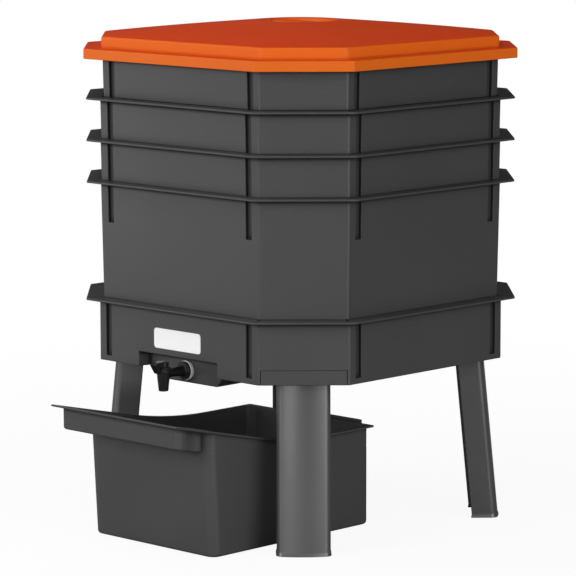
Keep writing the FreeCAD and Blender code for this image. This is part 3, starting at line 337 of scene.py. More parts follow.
@dataclass(frozen=True)
class MouldedRubber:
    """Moulded rubber or soft washer material: matt, with a fine powdery grain."""

    name: str
    colour: str
    roughness: float = 0.7
    ior: float = 1.52
    roughness_swing: float = 0.08
    grain_size: float = 0.8
    grain_height: float = 0.02

    def make(self) -> bpy.types.Material:
        """Build the node material.

        Returns:
            The finished material.
        """
        material, tree, output = new_material(self.name)
        place = add_node(tree, "ShaderNodeTexCoord").outputs["Object"]
        grain = add_node(tree, "ShaderNodeTexNoise", {
            "Vector": place, "Scale": 1 / (self.grain_size * MM), "Detail": 3.0})
        gloss = add_node(tree, "ShaderNodeMapRange", {
            "Value": grain.outputs["Fac"], "To Min": self.roughness - self.roughness_swing,
            "To Max": self.roughness + self.roughness_swing})
        bump = add_node(tree, "ShaderNodeBump", {
            "Height": grain.outputs["Fac"], "Strength": 1.0, "Distance": self.grain_height * MM})
        shader = add_node(tree, "ShaderNodeBsdfPrincipled", {
            "Base Color": linear(self.colour), "Roughness": gloss.outputs["Result"], "IOR": self.ior,
            "Normal": bump.outputs["Normal"]})
        tree.links.new(shader.outputs["BSDF"], output.inputs["Surface"])
        return material


@dataclass
class Finishes:
    """Every finish of the object, made once and shared by its pieces."""

    lid: bpy.types.Material
    tray: bpy.types.Material
    sump: bpy.types.Material
    leg: bpy.types.Material
    tub: bpy.types.Material
    label: bpy.types.Material
    tap: bpy.types.Material
    white_washer: bpy.types.Material
    black_washer: bpy.types.Material
    seal: bpy.types.Material

    @classmethod
    def mixed(cls) -> "Finishes":
        """Make all the materials.

        Returns:
            The set of finishes.
        """
        # Recycled polypropylene with carbon black: dark grey, satin, never quite even
        charcoal = MouldedPlastic("charcoal_polypropylene", "#3c3c3c", "#404040")
        return cls(
            # The same plastic with orange pigment: warm upright faces, and a matt roof painted darker and
            # redder as shade
            lid=MouldedPlastic("orange_polypropylene", "#dc6612", "#d86210", roughness=0.5,
                               rub_colour="#e88a55", sheen=0.2, roof_shade_colour="#dc4200",
                               crevice_depth=3.0, crevice_shade_darkest=0.8).make(),
            tray=charcoal.make(),
            sump=replace(charcoal, name="charcoal_polypropylene_sump").make(),
            # The legs come from a polished mould, so they catch the light most
            leg=replace(charcoal, name="charcoal_polypropylene_legs", colour="#3f3f40",
                        cloud_colour="#434344", roughness=0.34, sheen=1.0, crevice_shade_darkest=0.6).make(),
            tub=replace(charcoal, name="charcoal_polypropylene_tub", colour="#404040",
                        cloud_colour="#444444", crevice_shade_darkest=0.6).make(),
            # A printer's white vinyl: the only smooth pale face
            label=LabelFilm().make(),
            # Moulded acetal: dense, slippery and near black, with tight highlights
            tap=MouldedPlastic("black_acetal", "#161616", "#1a1a1a", roughness=0.28,
                               roughness_swing=0.04, ior=1.48, grain_height=0.015, flow_size=30.0,
                               flow_height=0.05, rub_colour="#4a4a4a").make(),
            # Cut polythene and moulded rubber: matt, without a highlight
            white_washer=MouldedRubber("white_polythene", "#ededeb", roughness=0.45).make(),
            black_washer=MouldedRubber("black_rubber", "#1c1c1c").make(),
            seal=MouldedRubber("black_seal_rubber", "#141414", roughness=0.5).make())


def grid_faces(rows: int, columns: int, loop_rows: bool = False) -> list[list[int]]:
    """Quads between the neighbours of a grid whose columns close on themselves.

    Args:
        rows: number of rows.
        columns: number of columns.
        loop_rows: True joins the last row to the first, else both get a cap.

    Returns:
        Faces as lists of point numbers, outwards when columns turn anticlockwise and rows climb outside.
    """
    index = np.arange(rows * columns).reshape(rows, columns)
    band = np.vstack([index, index[:1]]) if loop_rows else index
    low, high = band[:-1], band[1:]
    quads = np.stack([low, np.roll(low, -1, axis=1), np.roll(high, -1, axis=1), high], axis=-1)
    faces = quads.reshape(-1, 4).tolist()
    if not loop_rows:
        faces += [index[0, ::-1].tolist(), index[-1].tolist()]
    return faces


@dataclass
class Bench:
    """Turns grids in millimetres about the stack's axis into meshes and pieces of the row frame.

    stack_y is where the stack's axis stands in the row frame, in metres.
    """

    stack_y: float
    sharp_angle: float = 38.0

    def mesh(self, name: str, grid: np.ndarray, loop_rows: bool = False) -> bpy.types.Mesh:
        """Closed mesh of a grid: its points move to the row frame, doubles merge, faces turn outwards.

        Args:
            name: name of the mesh.
            grid: array of rows, columns and x, y, z in millimetres.
            loop_rows: True for a ring-shaped body whose profile closes on itself.

        Returns:
            The mesh in metres.
        """
        rows, columns = grid.shape[:2]
        points = grid.reshape(-1, 3) * MM + np.array([0.0, self.stack_y, 0.0])
        mesh = bpy.data.meshes.new(name)
        mesh.from_pydata(points.tolist(), [], grid_faces(rows, columns, loop_rows))
        return cleaned(mesh)

    def piece(self, name: str, mesh: bpy.types.Mesh, material: bpy.types.Material, body: Body, slot: str,
              *nodes: str) -> bpy.types.Object:
        """Finish a mesh as a piece that stands for CAD nodes.

        Args:
            name: name of the piece.
            mesh: its closed mesh in the row frame.
            material: its finish.
            body: body that it rides on.
            slot: not used; names a material slot of the record.
            nodes: CAD nodes that it replaces.

        Returns:
            The object.
        """
        mesh.polygons.foreach_set("use_smooth", np.ones(len(mesh.polygons), dtype=bool))
        mesh.set_sharp_from_angle(angle=math.radians(self.sharp_angle))
        mesh.materials.clear()
        mesh.materials.append(material)
        item = bpy.data.objects.new(name, mesh)
        bpy.context.scene.collection.objects.link(item)
        shade = item.modifiers.new("even_shading", "WEIGHTED_NORMAL")
        shade.keep_sharp = True
        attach(item, body.value)
        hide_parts(*nodes)
        LOG.info("%s rides on %s, %d faces", name, body.value, len(mesh.polygons))
        return item


def cleaned(mesh: bpy.types.Mesh) -> bpy.types.Mesh:
    """Merge doubles, drop faces without area and turn all faces outwards.

    Args:
        mesh: mesh that is changed in place.

    Returns:
        The same mesh.
    """
    work = bmesh.new()
    work.from_mesh(mesh)
    bmesh.ops.remove_doubles(work, verts=work.verts, dist=SAME_POINT * MM)
    bmesh.ops.dissolve_degenerate(work, edges=work.edges, dist=NO_LENGTH * MM)
    bmesh.ops.recalc_face_normals(work, faces=work.faces)
    work.to_mesh(mesh)
    work.free()
    mesh.update()
    return mesh


def carved(base: bpy.types.Mesh, tool: bpy.types.Mesh, how: Carve) -> bpy.types.Mesh:
    """Join a closed mesh to another, or cut it out of the other.

    Args:
        base: mesh that is worked on.
        tool: mesh that works on it.
        how: join or cut.

    Returns:
        A new mesh; both old ones are removed.
    """
    holder = bpy.data.objects.new("carve_base", base)
    cutter = bpy.data.objects.new("carve_tool", tool)
    for item in (holder, cutter):
        bpy.context.scene.collection.objects.link(item)
    step = holder.modifiers.new("carve", "BOOLEAN")
    step.operation, step.object, step.solver = how.value, cutter, "MANIFOLD"
    graph = bpy.context.evaluated_depsgraph_get()
    result = bpy.data.meshes.new_from_object(holder.evaluated_get(graph))
    result.name = base.name
    for item in (holder, cutter):
        bpy.data.objects.remove(item)
    for old in (base, tool):
        bpy.data.meshes.remove(old)
    return result


@dataclass(frozen=True)
class Bend:
    """One point of a shell's profile: its distances from the axis and its level.

    soft is how far the rounding of this bend reaches, radius rounds the eight upright edges, widen
    makes the notches wider for the inside of a wall, and groove, recess and socket say how much of
    each kind of notch is cut at this level.
    """

    flat: float
    corner: float
    z: float
    soft: float = 0.0
    radius: float = 5.0
    widen: float = 0.0
    groove: float = 0.0
    recess: float = 0.0
    socket: float = 0.0

    def spot(self) -> np.ndarray:
        """Flat distance, corner distance and level as an array."""
        return np.array([self.flat, self.corner, self.z])

    def at(self, spot: np.ndarray) -> "Bend":
        """The same bend at another spot, with no rounding left to do."""
        return replace(self, flat=float(spot[0]), corner=float(spot[1]), z=float(spot[2]), soft=0.0)


def softened(bends: list[Bend], steps: int = 3) -> list[Bend]:
    """Round the soft bends of a profile.

    Each soft bend becomes a parabola from the point that lies its soft distance back along the
    profile to the point as far ahead: start (1-t)^2 + bend 2t(1-t) + end t^2.

    Args:
        bends: profile with sharp bends.
        steps: runs in each parabola.

    Returns:
        The profile with more points.
    """
    rounded = []
    for i, bend in enumerate(bends):
        if not bend.soft or i in (0, len(bends) - 1):
            rounded.append(bend)
            continue
        here = bend.spot()
        ends = []
        for other in (bends[i - 1], bends[i + 1]):
            run = other.spot() - here
            length = max(math.hypot(run[0], run[2]), 1e-6)
            ends.append(here + run * min(1.0, bend.soft / length))
        for t in np.linspace(0.0, 1.0, steps + 1):
            spot = ends[0] * (1 - t) ** 2 + here * 2 * t * (1 - t) + ends[1] * t ** 2
            rounded.append(bend.at(spot))
    return rounded


@dataclass(frozen=True)
class Notch:
    """Upright recess in some of the eight faces.

    kind is the field of a bend that says how much of it is cut; faces counts from the +X wall
    anticlockwise; middle, half and depth are its place along the face, half width and depth; bevel
    softens its rim, draft slants its sides, and widest caps its half width inside.
    """

    kind: str
    faces: tuple[int, ...]
    middle: float
    half: float
    depth: float
    bevel: float = 0.5
    draft: float = 0.3
    widest: float = 200.0


def eight_sided(bends: list[Bend], notches: tuple[Notch, ...] = (), arc_runs: int = 4) -> np.ndarray:
    """Grid of an eight-sided shell with rounded upright edges and notches.

    For face k with the normal direction n at 45 k degrees and the direction t along it, a point of a
    notch is n (d - depth) + t s. The rounded edge between two faces is an arc of the bend's radius r
    about n (d - r) + t ((d' - r) - (d - r) cos 45) / sin 45, where d' is the next face's distance.

    Args:
        bends: profile of the shell, one row each.
        notches: recesses in its faces.
        arc_runs: runs in each rounded edge.

    Returns:
        Array of rows, columns and x, y, z.
    """
    def column(name: str) -> np.ndarray:
        """One field of all the bends as a column."""
        return np.array([getattr(bend, name) for bend in bends], dtype=float)[:, None]

    flat, corner, level, radius, widen = (column(n) for n in ("flat", "corner", "z", "radius", "widen"))
    parts = []
    for face in range(8):
        own, beyond = (corner, flat) if face % 2 else (flat, corner)
        turn = face * EIGHTH
        out = np.array([math.cos(turn), math.sin(turn)])
        along = np.array([-math.sin(turn), math.cos(turn)])
        for notch in sorted((n for n in notches if face in n.faces), key=lambda n: n.middle):
            side = np.array([-1, -1, -1, 1, 1, 1])
            slant = np.array([-notch.bevel, 0, notch.draft, -notch.draft, 0, notch.bevel])
            share = np.array([0, notch.bevel / notch.depth, 1, 1, notch.bevel / notch.depth, 0])
            half = np.minimum(notch.half + widen, notch.widest)
            reach = notch.middle + side * half + slant
            depth = column(notch.kind) * notch.depth * share
            parts.append((own - depth)[..., None] * out + reach[..., None] * along)
        reach = ((beyond - radius) - (own - radius) * COS_EIGHTH) / COS_EIGHTH
        middle = (own - radius)[..., None] * out + reach[..., None] * along
        angles = turn + np.linspace(0.0, EIGHTH, arc_runs + 1)
        arc = np.stack([np.cos(angles), np.sin(angles)], axis=-1)
        parts.append(middle + radius[..., None] * arc)
    outline = np.concatenate(parts, axis=1)
    height = np.broadcast_to(level[..., None], outline.shape[:2] + (1,))
    return np.concatenate([outline, height], axis=2)


def soft_box(half_x: np.ndarray, half_y: np.ndarray, level: np.ndarray, radius: np.ndarray,
             middle: tuple[float, float] = (0.0, 0.0), runs: int = 4) -> np.ndarray:
    """Grid of stacked rectangles with round corners.

    A corner's points are its middle (half - radius) plus radius (cos a, sin a), a quarter turn each.

    Args:
        half_x: half width of each row in x.
        half_y: half width of each row in y.
        level: height of each row.
        radius: corner radius of each row.
        middle: x and y of the box's middle.
        runs: runs in each round corner.

    Returns:
        Array of rows, columns and x, y, z.
    """
    angles = np.concatenate([q * QUARTER + np.linspace(0, QUARTER, runs + 1) for q in range(4)])
    sign_x = np.repeat([1, -1, -1, 1], runs + 1)
    sign_y = np.repeat([1, 1, -1, -1], runs + 1)
    half_x, half_y, level, radius = (
        np.asarray(values, dtype=float)[:, None] for values in (half_x, half_y, level, radius))
    x = middle[0] + sign_x * (half_x - radius) + radius * np.cos(angles)
    y = middle[1] + sign_y * (half_y - radius) + radius * np.sin(angles)
    return np.stack([x, y, np.broadcast_to(level, x.shape)], axis=-1)


def edge_rows(low: float, high: float, edge: float, runs: int = 3) -> tuple[np.ndarray, np.ndarray]:
    """Levels and insets of a block whose lower and upper edges are quarter circles.

    Args:
        low: lower level.
        high: upper level.
        edge: radius of the edges.
        runs: runs in each edge.

    Returns:
        The levels and the insets from the full width.
    """
    angles = np.linspace(0, QUARTER, runs + 1)
    inset = edge * (1 - np.sin(angles))
    rise = edge * (1 - np.cos(angles))
    return np.concatenate([low + rise, high - rise[::-1]]), np.concatenate([inset, inset[::-1]])


def lathe(profile: list[tuple[float, float]], runs: int = 40) -> np.ndarray:
    """Grid of a profile turned about z: (radius cos a, radius sin a, height).

    Args:
        profile: pairs of radius and height.
        runs: steps of the turn.

    Returns:
        Array of rows, columns and x, y, z.
    """
    radius, height = np.array(profile, dtype=float).T[:, :, None]
    angles = np.linspace(0, WHOLE_TURN, runs, endpoint=False)
    return np.stack([radius * np.cos(angles), radius * np.sin(angles),
                     np.broadcast_to(height, (len(profile), runs))], axis=-1)


def turned(grid: np.ndarray, degrees: float) -> np.ndarray:
    """Turn a grid about the stack's axis: x cos a - y sin a, x sin a + y cos a.

    Args:
        grid: points.
        degrees: anticlockwise turn.

    Returns:
        The turned points.
    """
    angle = math.radians(degrees)
    c, s = math.cos(angle), math.sin(angle)
    return grid @ np.array([[c, s, 0], [-s, c, 0], [0, 0, 1]])


def laid_forward(grid: np.ndarray) -> np.ndarray:
    """Grid whose upward axis is laid to point to -Y: (x, y, z) becomes (x, -z, y)."""
    return np.stack([grid[..., 0], -grid[..., 2], grid[..., 1]], axis=-1)


@dataclass
class NestingTray:
    """Tray whose skirt drops into the tray below and whose shoulder rests on that tray's rim."""

    name: str
    body: Body
    rim: float
    flat: float = 208.2
    corner: float = 241.8
    inset: float = 0.0
    shown: float = 50.4
    depth: float = 143.0
    wall: float = 2.5
    rim_thick: float = 2.6
    rim_reach: float = 16.9
    step_in: float = 5.8
    wall_draft: float = 1.05
    skirt_draft: float = 3.5
    groove_length: float = 50.4
    grooves: tuple[Notch, ...] = (Notch("groove", (0, 2, 4, 6), -117.15, 4.65, 3.4),
                                  Notch("groove", (0, 2, 4, 6), 117.15, 4.65, 3.4))
    hole_radius: float = 4.0
    hole_field: float = 300.0
    holes_per_side: int = 11

    def bend(self, offset: float, z: float, **more: float) -> Bend:
        """Bend at an offset from the wall under the rim and a height from the rim's top."""
        return Bend(self.flat - self.inset + offset, self.corner - self.inset + offset, self.rim + z, **more)

    def profile(self) -> list[Bend]:
        """Profile from the underside of the floor, up outside, over the rim and down inside.

        Returns:
            The bends with the rounding done.
        """
        lean = math.tan(math.radians(self.wall_draft))
        skirt_lean = math.tan(math.radians(self.skirt_draft))
        shoulder = self.shown * lean
        skirt = shoulder + self.step_in
        foot = skirt + (self.depth - self.shown) * skirt_lean
        inner_skirt, inner_foot = skirt + self.wall, foot + self.wall
        cut = self.groove_length >= self.shown
        groove_foot = min(self.groove_length, self.shown)
        outside = [
            self.bend(-foot - 5, -self.depth),
            self.bend(-foot, -self.depth, soft=3.0),
            self.bend(-skirt, -self.shown),
            self.bend(-shoulder, -self.shown, soft=0.9, groove=float(cut))]
        if not cut:
            outside += [self.bend(-groove_foot * lean, -groove_foot),
                        self.bend(-groove_foot * lean, -groove_foot + 0.5, groove=1.0)]
        outside += [
            self.bend(0, -self.rim_thick, soft=0.9, groove=1.0),
            self.bend(self.rim_reach, -self.rim_thick, soft=0.9),
            self.bend(self.rim_reach, 0, soft=0.9)]
        ribbed = {"groove": 1.0, "widen": self.wall, "radius": 1.5}
        inside = [self.bend(-self.wall, 0, soft=0.9, **ribbed)]
        if not cut:
            rib_foot = groove_foot + self.wall
            inside += [self.bend(-self.wall - rib_foot * lean, -rib_foot, **ribbed),
                       self.bend(-self.wall - rib_foot * lean, -rib_foot, radius=1.5)]
            ribbed = {"radius": 1.5}
        inside += [
            self.bend(-self.wall - shoulder, -self.shown + self.wall, **ribbed),
            self.bend(-inner_skirt, -self.shown + self.wall, soft=1.2, radius=1.5),
            self.bend(-inner_foot, -self.depth + self.wall, soft=3.5, radius=1.5),
            self.bend(-inner_foot - 7, -self.depth + self.wall, radius=1.5)]
        return softened(outside + inside)

    def pins(self) -> np.ndarray:
        """Points of the drain holes' sixteen-sided pins, at the crossings of a square field.

        Returns:
            Array of pins, two ends, points round and x, y, z.
        """
        line = np.linspace(-self.hole_field / 2, self.hole_field / 2, self.holes_per_side)
        x, y = (v.reshape(-1, 1, 1) for v in np.meshgrid(line, line))
        angles = np.linspace(0, WHOLE_TURN, 16, endpoint=False)
        ends = (self.rim - self.depth + np.array([-self.wall, 2 * self.wall]))[None, :, None]
        shape = (x.shape[0], 2, angles.size)
        return np.stack([np.broadcast_to(x + self.hole_radius * np.cos(angles), shape),
                         np.broadcast_to(y + self.hole_radius * np.sin(angles), shape),
                         np.broadcast_to(ends, shape)], axis=-1)

    def build(self, bench: Bench, finish: bpy.types.Material) -> bpy.types.Object:
        """Make the tray with its drain holes.

        Args:
            bench: where it is made.
            finish: its material.

        Returns:
            The tray.
        """
        shell = bench.mesh(self.name + "_shell", eight_sided(self.profile(), self.grooves))
        shell = carved(shell, self.pin_mesh(bench), Carve.CUT)
        return bench.piece(self.name + "_moulding", shell, finish, self.body, "tray_shell", self.name)

    def pin_mesh(self, bench: Bench) -> bpy.types.Mesh:
        """One mesh of all the pins.

        Args:
            bench: where it is made.

        Returns:
            The mesh.
        """
        pins = self.pins()
        count, ends, around = pins.shape[:3]
        *sides, low_cap, high_cap = grid_faces(ends, around)
        shift = (np.arange(count) * ends * around)[:, None, None]
        every = (np.array(sides)[None] + shift).reshape(-1, 4).tolist()
        for cap in (low_cap, high_cap):
            every += (np.array(cap)[None] + shift[:, 0]).tolist()
        points = pins.reshape(-1, 3) * MM + np.array([0.0, bench.stack_y, 0.0])
        mesh = bpy.data.meshes.new(self.name + "_pins")
        mesh.from_pydata(points.tolist(), [], every)
        return cleaned(mesh)


@dataclass
class DeepTray(NestingTray):
    """Bottom tray, whose whole height shows and whose foot stands in the sump."""

    shown: float = 143.1
    depth: float = 165.1
    step_in: float = 5.5


@dataclass
class Sump:
    """Sump with its rim, the recess over the tap, four leg recesses and the drain well below."""

    bottom: float = 203.9
    height: float = 76.7
    flat: float = 210.3
    corner: float = 244.1
    wall: float = 3.0
    rim_thick: float = 2.6
    rim_reach: float = 16.4
    seat_flat: float = 200.9
    seat_corner: float = 234.5
    groove_foot: float = 7.0
    recess_height: float = 18.0
    recess_depth: float = 16.0
    socket_height: float = 17.9
    well_depth: float = 14.4
    well_low: float = 50.5
    well_high: float = 62.5
    well_length: float = 50.0
    well_edge: float = 1.6
    panel_half: float = 1.2
    panel_edge: float = 0.3
    lap: float = 0.05
    hole_radius: float = 8.0
    hole_reach: tuple[float, float] = (185.0, 197.0)
    tap_height: float = 0.9
    notches: tuple[Notch, ...] = (
        Notch("groove", (0, 2, 4, 6), -119.65, 4.65, 3.4),
        Notch("groove", (0, 2, 4, 6), 119.65, 4.65, 3.4),
        Notch("recess", (6,), 0.0, 66.5, 16.0, bevel=0.8, draft=4.0),
        Notch("socket", (1, 3, 5, 7), 0.0, 50.9, 57.5, bevel=0.4, draft=0.0, widest=51.6))

    def bend(self, offset: float, z: float, **more: float) -> Bend:
        """Bend at an offset from the wall and a height above the underside."""
        return Bend(self.flat + offset, self.corner + offset, self.bottom + z, **more)

    def profile(self) -> list[Bend]:
        """Profile from the underside, up outside, over the rim, down inside to the floor.

        Returns:
            The bends with the rounding done.
        """
        rim_foot = self.height - self.rim_thick
        low = {"recess": 1.0, "socket": 1.0}
        lip = 1.0 / self.recess_depth
        inner = {"widen": self.wall, "radius": 1.5}
        roof = self.recess_height + self.wall
        return softened([
            self.bend(-6, 0, **low),
            self.bend(0, 0, soft=1.0, **low),
            self.bend(0, self.groove_foot, **low),
            self.bend(0, self.groove_foot + 0.5, groove=1.0, **low),
            self.bend(0, self.socket_height - 0.4, groove=1.0, **low),
            self.bend(0, self.socket_height, groove=1.0, recess=1.0),
            self.bend(0, self.recess_height, groove=1.0, recess=1.0),
            self.bend(0, self.recess_height, groove=1.0, recess=lip),
            self.bend(0, self.recess_height + 1.0, groove=1.0),
            self.bend(0, rim_foot, soft=0.9, groove=1.0),
            self.bend(self.rim_reach, rim_foot, soft=0.9),
            self.bend(self.rim_reach, self.height, soft=0.9),
            Bend(self.seat_flat, self.seat_corner, self.bottom + self.height, soft=0.9),
            Bend(self.seat_flat, self.seat_corner, self.bottom + rim_foot, soft=0.4),
            self.bend(-self.wall, rim_foot, groove=1.0, **inner),
            self.bend(-self.wall, roof, groove=1.0, **inner),
            self.bend(-self.wall, roof, groove=1.0, recess=1.0, socket=1.0, **inner),
            self.bend(-self.wall, self.wall, soft=2.0, recess=1.0, socket=1.0, **inner),
            self.bend(-self.wall - 4, self.wall, recess=1.0, socket=1.0, **inner)])

    def well(self, bench: Bench) -> bpy.types.Mesh:
        """Drain well: tapered block from the tap's panel back, up to inside the floor.

        Args:
            bench: where it is made.

        Returns:
            The block.
        """
        levels = np.array([0.0, 0.6, 2.0, self.well_depth, self.well_depth + 1.5])
        inset = np.array([2.0, 0.6, 0.0, 0.0, 0.3])
        slope = (self.well_high - self.well_low) / self.well_depth
        half_x = self.well_low + slope * np.minimum(levels, self.well_depth) - inset
        half_y = self.well_length / 2 - inset
        middle = (0.0, -(self.flat - self.recess_depth) + self.well_length / 2 - self.lap)
        level = self.bottom - self.well_depth + levels
        return bench.mesh("well", soft_box(half_x, half_y, level, np.full(5, self.well_edge), middle))

    def panel(self, bench: Bench) -> bpy.types.Mesh:
        """Smooth panel behind the tap, which runs on into the well's front.

        Args:
            bench: where it is made.

        Returns:
            The panel.
        """
        front = self.flat - self.recess_depth + self.lap
        levels = self.bottom + np.array([-1.0, self.recess_height - self.lap])
        half_x, half_y, edge = (np.full(2, size) for size in (
            self.well_high - self.panel_edge, self.panel_half, self.panel_edge))
        return bench.mesh("panel", soft_box(half_x, half_y, levels, edge, (0.0, self.panel_half - front)))

    def build(self, bench: Bench, finish: bpy.types.Material) -> bpy.types.Object:
        """Make the sump as one moulding.

        Args:
            bench: where it is made.
            finish: its material.

        Returns:
            The sump.
        """
        shell = bench.mesh("sump_shell", eight_sided(self.profile(), self.notches))
        for part in (self.well(bench), self.panel(bench)):
            shell = carved(shell, part, Carve.JOIN)
        near, far = self.hole_reach
        axis = lathe([(SLIVER, near), (self.hole_radius, near), (self.hole_radius, far), (SLIVER, far)])
        drill = laid_forward(axis) + np.array([0.0, 0.0, self.bottom + self.tap_height])
        shell = carved(shell, bench.mesh("drill", drill), Carve.CUT)
        return bench.piece("sump_moulding", shell, finish, Body.STAND, "sump_shell", "sump_base")


@dataclass
class Lid:
    """Lid with a skirt, a raised step, a low roof, a hand dish with a grip across it and a rest rib."""

    bottom: float = 570.9
    flat: float = 225.5
    corner: float = 261.4
    skirt: float = 12.5
    wall: float = 2.8
    step_flat: float = 205.0
    step_corner: float = 240.2
    step_top: float = 26.4
    peak: float = 42.9
    crown: float = 50.0
    bulge: float = 1.0
    dish_radius: float = 45.0
    dish_floor: float = 36.0
    dish_depth: float = 13.0
    shell: float = 2.5
    grip_width: float = 12.0
    grip_sink: float = 1.2
    grip_drop: float = 1.5
    grip_edge: float = 2.5
    grip_lean: float = 6.5
    grip_round: float = 0.2
    grip_corner: float = 2.0
    skirt_round: float = 5.0
    step_round: float = 12.0
    rib: float = 3.0
    rib_foot: float = 4.0

    def roof(self, drop: float, rows: int, up: bool) -> list[Bend]:
        """Rows of the roof between the step and the dish.

        The outline shrinks in proportion from the step's eight sides to a circle, because its edge
        radius grows to the crown's; the level climbs in proportion, with a parabola on top.

        Args:
            drop: how far this skin lies under the outer one.
            rows: number of rows.
            up: True from the step to the dish, False the other way.

        Returns:
            The bends.
        """
        bends = []
        for t in np.linspace(0.0, 1.0, rows):
            flat = self.step_flat - drop + (self.crown - self.step_flat + drop) * t
            corner = self.step_corner - drop + (self.crown - self.step_corner + drop) * t
            level = self.step_top + (self.peak - self.step_top) * t + self.bulge * 4 * t * (1 - t)
            radius = self.step_round - drop + (self.crown - self.step_round + drop) * t
            bends.append(Bend(flat, corner, self.bottom + level - drop, radius=radius - SLIVER))
        return bends if up else bends[::-1]

    def circle(self, radius: float, z: float, soft: float = 0.0) -> Bend:
        """Bend of a round row."""
        return Bend(radius, radius, self.bottom + z, soft=soft, radius=radius - SLIVER)

    def profile(self) -> list[Bend]:
        """Profile from under the dish, out along the inside, round the skirt, up and into the dish.

        Returns:
            The bends with the rounding done.
        """
        shell = self.shell
        floor = self.peak - self.dish_depth
        ledge = self.skirt - shell

        def step(offset: float, z: float, soft: float = 0.0) -> Bend:
            """Bend at an offset from the raised step's wall."""
            return Bend(self.step_flat + offset, self.step_corner + offset, self.bottom + z, soft,
                        radius=self.step_round)

        def edge(offset: float, z: float, soft: float = 0.0) -> Bend:
            """Bend at an offset from the skirt's wall."""
            return Bend(self.flat + offset, self.corner + offset, self.bottom + z, soft,
                        radius=self.skirt_round)

        inside = [self.circle(self.dish_floor - 4, floor - shell),
                  self.circle(self.dish_floor + shell, floor - shell, 2.0),
                  self.circle(self.dish_radius + shell, self.peak - shell - 0.6, 0.8)]
        inside += self.roof(shell, 9, up=False)[1:]
        inside += [step(-shell, ledge), step(self.rib, ledge), step(self.rib, self.rib_foot, 0.6),
                   step(2 * self.rib, self.rib_foot, 0.6), step(2 * self.rib, ledge),
                   edge(-self.wall, ledge, 1.0)]
        outside = [edge(-self.wall, 0, 0.5), edge(0, 0, 0.9), edge(0, self.skirt, 1.4),
                   step(0, self.skirt, 0.8)]
        roof = self.roof(0.0, 15, up=True)
        outside.append(replace(roof[0], soft=2.6))
        outside += roof[1:]
        outside += [self.circle(self.dish_radius, self.peak, 2.5), self.circle(self.dish_floor, floor, 3.5),
                    self.circle(self.dish_floor - 6, floor)]
        return softened(inside + outside, steps=4)

    def build(self, bench: Bench, finish: bpy.types.Material) -> bpy.types.Object:
        """Make the lid and its grip.

        Args:
            bench: where it is made.
            finish: its material.

        Returns:
            The lid.
        """
        shell = bench.mesh("lid_shell", eight_sided(self.profile(), arc_runs=7))
        levels, inset = edge_rows(self.bottom + self.peak - self.dish_depth - self.grip_sink,
                                  self.bottom + self.peak - self.grip_drop, self.grip_edge)
        half = self.grip_width / 2 - inset
        lean = np.linspace(self.grip_lean, 0, levels.size)
        spread = np.full_like(levels, self.dish_radius - 1.0) - lean - inset * self.grip_round
        grip = soft_box(spread, half, levels, np.full_like(levels, self.grip_corner))
        shell = carved(shell, bench.mesh("grip", grip), Carve.JOIN)
        return bench.piece("lid_moulding", shell, finish, Body.COVER, "lid_shell", "lid")


@dataclass
class Leg:
    """Splayed channel leg with round outer corners, a crowned outer panel and a flared foot."""

    side: LegSide
    foot: float = 212.0
    width: float = 63.4
    depth: float = 31.5
    crown: float = 2.5
    crown_width: float = 49.0
    crown_gap: float = 0.2
    wall: float = 3.0
    corner: float = 8.0
    splay: float = 5.5
    top: float = 218.9
    flare: float = 1.4
    flare_height: float = 5.0
    flare_middle: float = 0.55
    foot_edge: tuple[float, float] = (0.7, 0.2)
    mouth: float = 0.1
    lip: float = 0.5

    def section(self) -> np.ndarray:
        """Outline of the channel at the floor, x outwards, anticlockwise.

        The outer corners are quarter circles, the crown is a shallow arc, and the inside follows the
        outside one wall further in.

        Returns:
            Array of points and x, y.
        """
        half, outer = self.width / 2, self.foot + self.depth
        half_crown = self.crown_width / 2
        arc = np.linspace(-QUARTER, 0, 8)
        corner = np.stack([outer - self.corner + self.corner * np.cos(arc),
                           -half + self.corner + self.corner * np.sin(arc)], axis=-1)
        corner = corner[corner[:, 1] < -half_crown - self.crown_gap]
        big = (half_crown ** 2 + self.crown ** 2) / (2 * self.crown)
        across = half_crown * np.sin(np.linspace(-QUARTER, QUARTER, 17))
        rise = outer + self.crown - big + np.sqrt(big ** 2 - across ** 2)
        start = self.foot + self.mouth
        mouth = np.array([[start + self.lip, -half], [start, -half + self.lip - self.mouth]])
        right = np.concatenate([mouth[::-1], corner])
        left = right[::-1] * np.array([1, -1])
        outside = np.concatenate([right, np.stack([rise, across], axis=-1), left])
        inner = self.corner - self.wall
        bow = np.linspace(-QUARTER, 0, 6)
        bend = np.stack([outer - self.wall - inner + inner * np.cos(bow),
                         -half + self.wall + inner + inner * np.sin(bow)], axis=-1)
        inside = np.concatenate([[[start, -half + self.wall - self.lip + self.mouth],
                                  [start + self.lip, -half + self.wall]], bend])
        return np.concatenate([outside, inside * np.array([1, -1]), inside[::-1]])

    def build(self, bench: Bench, finish: bpy.types.Material) -> bpy.types.Object:
        """Carry the section up along the splayed line: x shifts by -z tan(splay), the foot flares.

        Args:
            bench: where it is made.
            finish: its material.

        Returns:
            The leg.
        """
        section = self.section()
        levels = np.concatenate([[0.0, 0.3, 0.9], np.linspace(1.6, self.flare_height, 6),
                                 np.linspace(self.flare_height + 8, self.top, 6)])
        spread = np.clip(1 - levels / self.flare_height, 0, 1) ** 2 * self.flare
        spread[:2] -= self.foot_edge
        middle = np.array([self.foot + self.depth * self.flare_middle, 0.0])
        away = section - middle
        push = away / np.abs(away).max(axis=0)
        flat = section[None] + spread[:, None, None] * push[None]
        x = flat[..., 0] - levels[:, None] * math.tan(math.radians(self.splay))
        grid = np.stack([x, flat[..., 1], np.broadcast_to(levels[:, None], x.shape)], axis=-1)
        mesh = bench.mesh("leg", turned(grid, self.side.value))
        word = self.side.word
        return bench.piece(f"leg_{word}_moulding", mesh, finish, Body.STAND, "leg_shell", f"leg_{word}")


